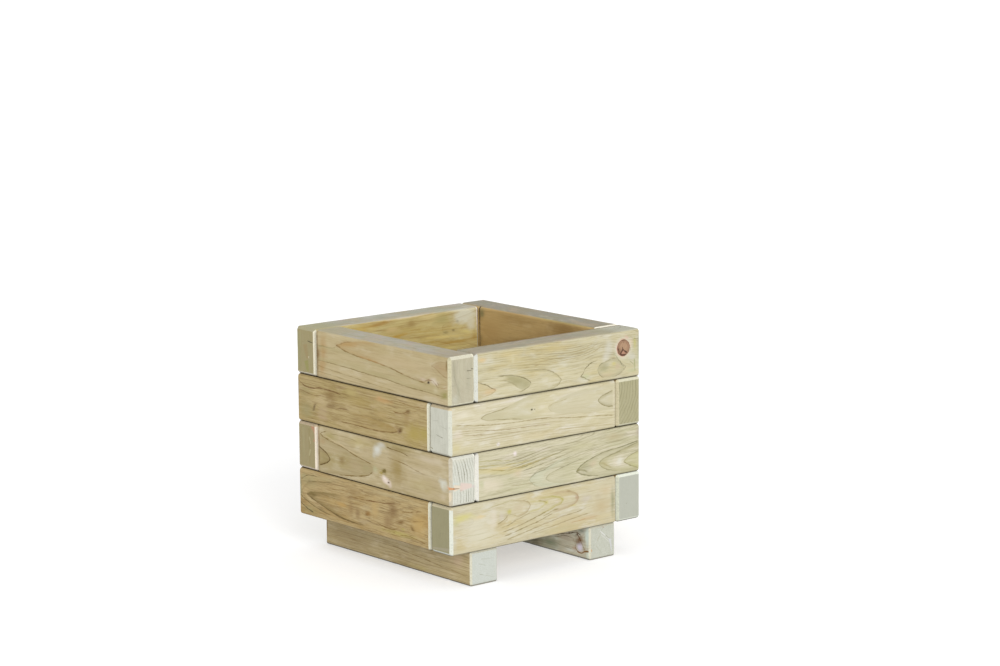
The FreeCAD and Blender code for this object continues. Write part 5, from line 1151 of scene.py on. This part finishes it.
               ([(-132, 10), (-110, 12), (-86, 14), (-60, 13)], 1.1, (150, 138, 116), 0.6, 4, 8), ([(-136, 26), (-120, 27), (-96, 22), (-70, 18)], 1.1, (120, 104, 82), 0.6, 4, 8)],
        stains_and_shades=[(-164, 34, 9, 22, (204, 202, 184), 1.3), (-166, 8, 8, 10, (204, 200, 178), 1.0), (-147, 25, 9, 13, (132, 104, 78), 1.1, 50), (-148, 16, 8, 9, (206, 188, 192), 1.6, 30), (-158, 13, 6, 3, (150, 116, 84), 1.0, 30), (-142, 33, 6, 3, (96, 76, 54), 1.0, -20), (-137, 13, 7, 3, (176, 140, 112), 0.9), (-128, 8, 20, 4, (206, 196, 178), 0.8), (-152, 40, 12, 4, (120, 118, 96), 0.7),
                # the dark stains at u -50 and -34 on the inner side are painted shadow below the front board
                (-120, 26, 22, 9, (186, 166, 144), 0.7), (-84, 12, 30, 12, (140, 138, 112), 0.9), (-50, 10, 30, 18, (112, 102, 80), 0.9), (-34, 10, 16, 16, (84, 74, 58), 0.8)],
        end_early=(206, 209, 192), end_late=(168, 170, 146), end_tone=(196, 200, 180), end_pale=(234, 236, 226), end_contrast=0.35,
        marks_end=[("qp", 20, 40, 38, 24, 1.4, (228, 230, 220), 0.9), ("qp", 22, 34, 36, 22, 1.0, (222, 224, 212), 0.7), ("qp", 30, 32, 36, 27, 1.2, (166, 166, 140), 0.7), ("qp", 38, 26, 41, 8, 2.4, (216, 218, 216), 0.8), ("qp", 0, 16, 4, 13, 4.0, (210, 168, 126), 0.9), ("qp", 12, 20, 22, 8, 1.0, (184, 186, 164), 0.6),
                   ("qp", 14, 26, 26, 46, 1.0, (176, 174, 148), 0.5), ("qp", 22, 47, 27, 44, 2.0, (168, 140, 122), 0.7)],
    ),
}
for side in ("front", "right", "back", "left"):
    # rim-top greys per side, partly painted shade for the weaker light on the top faces
    SPECS["course_4_%s_board" % side].update(
        rim={"front": (194, 184, 155), "right": (139, 138, 130), "back": (182, 178, 160), "left": (190, 186, 176)}[side],
        rim_warm={"front": (194, 179, 144), "right": (142, 135, 117), "back": (184, 172, 142), "left": (192, 182, 158)}[side],
        seam_low=3.4,
    )
SPECS["course_4_front_board"]["rim_edge"] = 36.0
SPECS["course_4_right_board"].update(rim_green=(142, 142, 120), rim_pink=(166, 152, 134), rim_fleck=0.25)
SPECS["course_4_right_board"]["pale_top"] = True
SPECS["course_4_left_board"]["pale_top"] = True
# widths of the painted joint shade at the butt ends
SPECS["course_1_front_board"]["butt_dark"] = 6.0
SPECS["course_3_front_board"]["butt_dark"] = 6.0
SPECS["course_4_front_board"]["butt_dark"] = 0.0
SPECS["course_3_front_board"]["edges"] = [("inner", (210, 202, 174)), ("top", (222, 205, 168))]
SPECS["course_1_front_board"]["edges"] = [("inner", (193, 188, 159)), ("top", (223, 211, 176))]
SPECS["course_3_right_board"]["edges"] = [("inner", (213, 204, 169))]
SPECS["course_1_right_board"]["edges"] = [("inner", (216, 219, 198))]
SPECS["course_2_back_board"]["edges"] = [("top", (206, 187, 156))]
SPECS["course_4_front_board"]["rim_tints"] = [(50, 130, (196, 194, 158), 0.85), (-50, -110, (188, 182, 158), 0.5), (114, 140, (216, 217, 194), 0.9)]
SPECS["course_4_back_board"]["rim_tints"] = [(-100, -150, (176, 170, 128), 0.85)]
SPECS["course_4_left_board"]["rim_tints"] = [(30, 110, (184, 176, 144), 0.6), (-90, -160, (176, 162, 136), 0.5)]
SPECS["course_4_right_board"]["marks_face"] = [("in", 126.9, 68, 126.9, 0, 1.5, (64, 52, 34), 0.95)]
# height of the painted shade along the bottom edge of the bottom course
for name in ("course_1_front_board", "course_1_right_board", "course_1_left_board"):
    SPECS[name]["seam_low"] = 2.6
SPECS["course_2_front_board"]["butt_dark"] = 0.0
for name, edge in {
    "course_1_right_board": (226, 230, 216), "course_3_right_board": (222, 219, 192), "course_1_front_board": (230, 233, 220), "course_3_front_board": (224, 225, 210), "course_4_front_board": (236, 238, 230), "course_2_front_board": (236, 234, 226),
    "course_4_left_board": (232, 229, 206), "course_2_left_board": (234, 234, 222), "course_4_back_board": (228, 222, 200), "course_2_back_board": (228, 216, 198), "course_4_right_board": (236, 232, 216),
}.items():
    SPECS[name]["bevel"] = edge
    SPECS[name]["bevel_late"] = tuple(int(c * 0.88) for c in edge)
GAINS = {
    # face, end, bevel
    "course_4_front_board": ((0.64, 0.633, 0.659), 0.66, (0.598, 0.598, 0.598)),
    "course_4_left_board": ((0.752, 0.752, 0.72), (0.601, 0.599, 0.571), 0.72),
    "course_4_back_board": ((0.827, 0.858, 0.905), (0.72, 0.705, 0.661), 0.74),
    "course_4_right_board": ((0.99, 0.98, 0.93), 0.66, 0.8),
    "course_3_front_board": ((0.678, 0.685, 0.7), 0.884, 0.66),
    "course_3_left_board": ((0.765, 0.766, 0.79), 0.66, 0.7),
    "course_3_back_board": (0.72, 0.66, 0.66),
    "course_3_right_board": (0.72, (0.583, 0.587, 0.638), 0.7),
    "course_2_front_board": ((0.685, 0.685, 0.735), 0.66, 0.66),
    "course_2_left_board": ((0.754, 0.745, 0.707), (0.625, 0.637, 0.63), 0.68),
    "course_2_back_board": (0.72, (0.713, 0.698, 0.677), 0.72),
    "course_2_right_board": (0.72, 0.66, 0.66),
    "course_1_front_board": ((0.635, 0.648, 0.683), (0.752, 0.722, 0.691), 0.67),
    "course_1_left_board": ((0.732, 0.724, 0.695), 0.66, 0.66),
    "course_1_back_board": (0.72, 0.7, 0.66),
    "course_1_right_board": (0.72, (0.63, 0.617, 0.637), 0.7),
    "left_runner": ((0.897, 0.882, 0.892), (0.643, 0.657, 0.69), 0.66),
    "right_runner": ((1.009, 1.136, 1.227), (0.643, 0.636, 0.663), 0.66),
}
for name, (face, end, bevel) in GAINS.items():
    SPECS[name]["gain"] = face
    SPECS[name]["end_gain"] = end
    SPECS[name]["bevel_gain"] = bevel
for i in range(5):
    SPECS["floor_slat_%d" % (i + 1)] = dict(
        seed=61 + i, spacing=3.0 + 0.3 * i, wave=0.9, depth=30 + 5 * i,
        crest=[(-126, 20 + 5 * i), (126, 26 - 3 * i)], core=[(-126, 0.3 * i), (126, 2.6 - i)],
        early=(202, 186 - 2 * i, 140), late=(152, 126, 78), tone=(190, 172, 120), pale=(218, 206, 168), contrast=0.7,
    )

BUTT_INSET, STAGGER = 60.0, 10.0
RUN_L = (-HALF + 36.5, -HALF + 36.5 + RUNNER)
RUN_R = (HALF - 45.5 - RUNNER, HALF - 45.5)
RUN_Y = (-HALF + 3.5, -HALF + 3.5 + 328.0)


def quarter(x, y, k):
    for _ in range(k):
        x, y = -y, x
    return x, y


LINE = HALF - THICK / 2
RUNNER_SCREWS = []
for inner, sign in ((RUN_L[1], -1), (RUN_R[0], 1)):
    for y in (-LINE, HALF - 30.5):
        RUNNER_SCREWS += [(inner + sign * 12.0, y + 6.0), (inner + sign * 29.0, y - 6.0)]


def wall_screws(course):
    spots = []
    far, near, butt = LINE + STAGGER, LINE - STAGGER, HALF - THICK - BUTT_INSET
    for k in range(4):
        if course % 2:
            spots += [quarter(-far, -near, k), quarter(butt, -LINE, k)]
        else:
            spots += [quarter(-near, -far, k), quarter(-butt, -LINE, k)]
    return spots


def finish_piece(name, world, faces, grain_of, turn, along, spec, cutters, ends):
    """Makes the object from world-frame vertices in mm, cuts its holes, works
    out its grain from where each vertex is, and dresses it."""
    me = bpy.data.meshes.new(name + "_mesh")
    me.from_pydata([tuple(v) for v in world * 0.001], [], faces)
    me.update()
    ob = bpy.data.objects.new(name + "_wood", me)
    bpy.context.scene.collection.objects.link(ob)
    import bmesh

    bm = bmesh.new()
    bm.from_mesh(me)
    bmesh.ops.recalc_face_normals(bm, faces=bm.faces)
    bm.to_mesh(me)
    bm.free()
    if cutters:
        carve(ob, cutters)
        me = ob.data
    co = np.empty(len(me.vertices) * 3, np.float32)
    me.vertices.foreach_get("co", co)
    co = co.reshape(-1, 3).astype(float) * 1000.0
    g = grain_of(co)
    ring = ring_field(g, spec)
    stain_and_shade = paint_field(g, spec)
    vn = np.empty(len(me.vertices) * 3, np.float32)
    me.vertex_normals.foreach_get("vector", vn)
    slope = ring_slope(g, turn(vn.reshape(-1, 3).astype(float)), ring, spec)
    if "end_rings" in spec:
        ring, slope = end_rings(g, spec["end_at"], ring, slope, spec)
    power = power_field(g, spec)
    a = me.attributes.new("grain", "FLOAT_VECTOR", "POINT")
    a.data.foreach_set("vector", g.astype(np.float32).ravel())
    a = me.attributes.new("ring", "FLOAT", "POINT")
    a.data.foreach_set("value", ring.astype(np.float32))
    a = me.attributes.new("slope", "FLOAT", "POINT")
    a.data.foreach_set("value", slope.astype(np.float32))
    a = me.attributes.new("power", "FLOAT", "POINT")
    a.data.foreach_set("value", power.astype(np.float32))
    a = me.attributes.new("stain_and_shade", "FLOAT_COLOR", "POINT")
    a.data.foreach_set("color", stain_and_shade.astype(np.float32).ravel())
    # end faces and their bevels get their own finish
    n = len(me.polygons)
    normal = np.empty(n * 3, np.float32)
    centre = np.empty(n * 3, np.float32)
    me.polygons.foreach_get("normal", normal)
    me.polygons.foreach_get("center", centre)
    normal = np.abs(normal.reshape(-1, 3)[:, along])
    where = centre.reshape(-1, 3)[:, along] * 1000.0
    near_end = (where < ends[0] + 5.0) | (where > ends[1] - 5.0)
    index = np.zeros(n, np.int32)
    index[(normal > 0.9) & near_end] = 1
    index[(normal > 0.3) & (normal <= 0.9) & near_end] = 2
    me.materials.clear()
    for part in ("face", "end", "bevel"):
        me.materials.append(wood_material("%s_%s" % (name, part), spec, part))
    me.polygons.foreach_set("material_index", index)
    me.polygons.foreach_set("use_smooth", np.ones(n, bool))
    me.set_sharp_from_angle(angle=math.radians(28))
    me.update()
    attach(ob, "root")
    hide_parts(name)
    return ob


SIDES = {
    # outside face's axis and sign, for the depth q
    "front": (0, lambda v: v[:, 1] + HALF),
    "back": (0, lambda v: HALF - v[:, 1]),
    "left": (1, lambda v: v[:, 0] + HALF),
    "right": (1, lambda v: HALF - v[:, 0]),
}


def board(course, side):
    name = "course_%d_%s_board" % (course, side)
    spec = SPECS[name]
    axis, depth = SIDES[side]
    odd = course % 2 == 1
    through_low = (side in ("front", "right")) == odd
    lo = -HALF if through_low else -HALF + THICK
    z0 = RUNNER + (course - 1) * HIGH
    v, faces = timber(name, LENGTH, THICK, HIGH, ARRIS, BEVEL, spec["seed"])
    edge = {"front": -HALF, "back": HALF - THICK, "left": -HALF, "right": HALF - THICK}[side]
    world = np.empty_like(v)
    world[:, axis] = v[:, 0] + lo
    world[:, 1 - axis] = v[:, 1] + edge
    world[:, 2] = v[:, 2] + z0
    cutters = []
    inside = lambda x, y: (lo < (x, y)[axis] < lo + LENGTH) and (edge < (x, y)[1 - axis] < edge + THICK)
    if course < 4:
        own = [s for s in wall_screws(course) if inside(*s)]
        cutters.append(lathe("cut_a", [(0, -1), (7, -1), (7, 10), (3.25, 10), (3.25, HIGH + 1), (0, HIGH + 1)], [(*s, z0) for s in own]))
    if course > 1:
        below = [s for s in wall_screws(course - 1) if inside(*s)]
        cutters.append(lathe("cut_b", [(0, -1), (3.1, -1), (3.1, 43), (0, 44)], [(*s, z0) for s in below]))
    if course == 1:
        mine = [s for s in RUNNER_SCREWS if inside(*s)]
        if mine:
            cutters.append(lathe("cut_c", [(0, -1), (3.1, -1), (3.1, 43), (0, 44)], [(*s, z0) for s in mine]))

    def grain_of(w):
        return np.c_[w[:, axis], w[:, 2] - z0, depth(w)]

    inward = -1.0 if side in ("back", "right") else 1.0

    def turn(n):
        return np.c_[n[:, axis], n[:, 2], inward * n[:, 1 - axis]]

    spec["butt"] = lo + LENGTH if through_low else lo
    spec["end_at"] = lo if through_low else lo + LENGTH
    # heights of the painted joint shade along the bottom and top edges
    if course > 1:
        spec.setdefault("seam_low", 2.4)
    if course < 4:
        spec.setdefault("seam_top", 67.0)
    return finish_piece(name, world, faces, grain_of, turn, axis, spec, cutters, (lo, lo + LENGTH))


def runner(name, x0):
    spec = SPECS[name]
    v, faces = timber(name, 328.0, RUNNER, RUNNER, 3.0, 2.5, spec["seed"], wear=0.9)
    world = np.c_[v[:, 1] + x0, v[:, 0] + RUN_Y[0], v[:, 2]]
    own = [s for s in RUNNER_SCREWS if x0 < s[0] < x0 + RUNNER]
    cutters = [lathe("cut_a", [(0, -1), (7, -1), (7, 10), (3.25, 10), (3.25, RUNNER + 1), (0, RUNNER + 1)], [(*s, 0.0) for s in own])]
    slat_y = [-HALF + THICK + SLAT_GAP + SLAT_W / 2 + k * (SLAT_W + SLAT_GAP) for k in range(5)]
    cutters.append(lathe("cut_b", [(0, 25.4), (2.1, 26.4), (2.1, RUNNER + 1), (0, RUNNER + 1)], [(x0 + RUNNER / 2, y, 0.0) for y in slat_y], 16))

    def grain_of(w):
        # depth from the left-hand side on both runners
        return np.c_[w[:, 1], w[:, 2], w[:, 0] - x0]

    def turn(n):
        return np.c_[n[:, 1], n[:, 2], n[:, 0]]

    return finish_piece(name, world, faces, grain_of, turn, 1, spec, cutters, RUN_Y)


def slat(i):
    name = "floor_slat_%d" % (i + 1)
    spec = SPECS[name]
    long = LENGTH - THICK - 4.0
    y0 = -HALF + THICK + SLAT_GAP + i * (SLAT_W + SLAT_GAP)
    x0 = -HALF + THICK + 2.0
    v, faces = timber(name, long, SLAT_W, SLAT_T, 2.0, 0.0, spec["seed"], step=3.0, wear=0.7)
    world = np.c_[v[:, 0] + x0, v[:, 1] + y0, v[:, 2] + RUNNER]
    spots = [(sum(RUN_L) / 2, y0 + SLAT_W / 2, RUNNER), (sum(RUN_R) / 2, y0 + SLAT_W / 2, RUNNER)]
    cutters = [lathe("cut", [(0, -1), (2.2, -1), (2.2, SLAT_T - 3.2), (4.3, SLAT_T - 3.2), (4.3, SLAT_T + 1), (0, SLAT_T + 1)], spots, 24)]

    def grain_of(w):
        return np.c_[w[:, 0], w[:, 1] - y0, RUNNER + SLAT_T - w[:, 2]]

    def turn(n):
        return np.c_[n[:, 0], n[:, 1], -n[:, 2]]

    return finish_piece(name, world, faces, grain_of, turn, 0, spec, cutters, (x0, x0 + long))


# --------------------------------------------------------------------- camera
cam_data = bpy.data.cameras.new("camera")
cam = bpy.data.objects.new("camera", cam_data)
bpy.context.scene.collection.objects.link(cam)
bpy.context.scene.camera = cam
cam_data.sensor_fit = "HORIZONTAL"
cam_data.sensor_width = 36.0
cam_data.lens = 2930.41 * 36.0 / 1000.0
cam_data.clip_start, cam_data.clip_end = 0.1, 200.0
yaw, pitch, roll = math.radians(39.931), math.radians(9.816), math.radians(-0.431)
fwd = Vector((math.sin(yaw) * math.cos(pitch), math.cos(yaw) * math.cos(pitch), -math.sin(pitch)))
right = Vector((math.cos(yaw), -math.sin(yaw), 0.0))
up = right.cross(fwd)
r2 = right * math.cos(roll) + up * math.sin(roll)
u2 = up * math.cos(roll) - right * math.sin(roll)
cam.matrix_world = Matrix.Translation((-2.570375, -3.142369, 1.013054)) @ Matrix(
    ((r2.x, u2.x, -fwd.x), (r2.y, u2.y, -fwd.y), (r2.z, u2.z, -fwd.z))
).to_4x4()

# --------------------------------------------------------------------- pieces
for course in (1, 2, 3, 4):
    for side in ("front", "right", "back", "left"):
        board(course, side)
runner("left_runner", RUN_L[0])
runner("right_runner", RUN_R[0])
for i in range(5):
    slat(i)

screw_finish = metal_material("timber_screw_finish", (196, 178, 120), (150, 132, 84), 1)
slat_screw_finish = metal_material("floor_screw_finish", (204, 190, 140), (160, 146, 98), 2)
for node, mat in (
    ("course_1_screws", screw_finish),
    ("course_2_screws", screw_finish),
    ("course_3_screws", screw_finish),
    ("runner_screws", screw_finish),
    ("floor_screws", slat_screw_finish),
):
    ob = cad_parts[node]
    for s in ob.material_slots:
        s.material = mat

# ---------------------------------------------------------------- floor, light
floor_me = bpy.data.meshes.new("floor")
R = 60.0
floor_me.from_pydata([(-R, -R, 0), (R, -R, 0), (R, R, 0), (-R, R, 0)], [], [(0, 1, 2, 3)])
floor_me.update()
floor = bpy.data.objects.new("floor", floor_me)
bpy.context.scene.collection.objects.link(floor)
fm = Graph("floor_finish")
fm.bsdf.inputs["Base Color"].default_value = (0.62, 0.62, 0.62, 1.0)
fm.bsdf.inputs["Roughness"].default_value = 0.9
fm.bsdf.inputs["Emission Color"].default_value = (1.0, 1.0, 1.0, 1.0)
fm.bsdf.inputs["Emission Strength"].default_value = 0.44
fm.bsdf.inputs["Specular IOR Level"].default_value = 0.1
floor_me.materials.append(fm.mat)

world = bpy.data.worlds.new("studio")
bpy.context.scene.world = world
world.use_nodes = True
bg = world.node_tree.nodes["Background"]
bg.inputs["Color"].default_value = (1.0, 1.0, 1.0, 1.0)
bg.inputs["Strength"].default_value = 0.80

# One big soft key, low and in front, nearly square to the front face.
key_data = bpy.data.lights.new("key", "SUN")
key_data.energy = 0.72 * math.pi
key_data.angle = math.radians(34)
key_data.color = (1.0, 0.99, 0.97)
key = bpy.data.objects.new("key", key_data)
bpy.context.scene.collection.objects.link(key)
key.rotation_mode = "QUATERNION"
key.rotation_quaternion = Vector((0.33, 0.86, -0.39)).to_track_quat("-Z", "Y")

view = bpy.context.scene.view_settings
view.view_transform = "Standard"
view.look = "None"
view.exposure = 0.0
view.gamma = 1.0
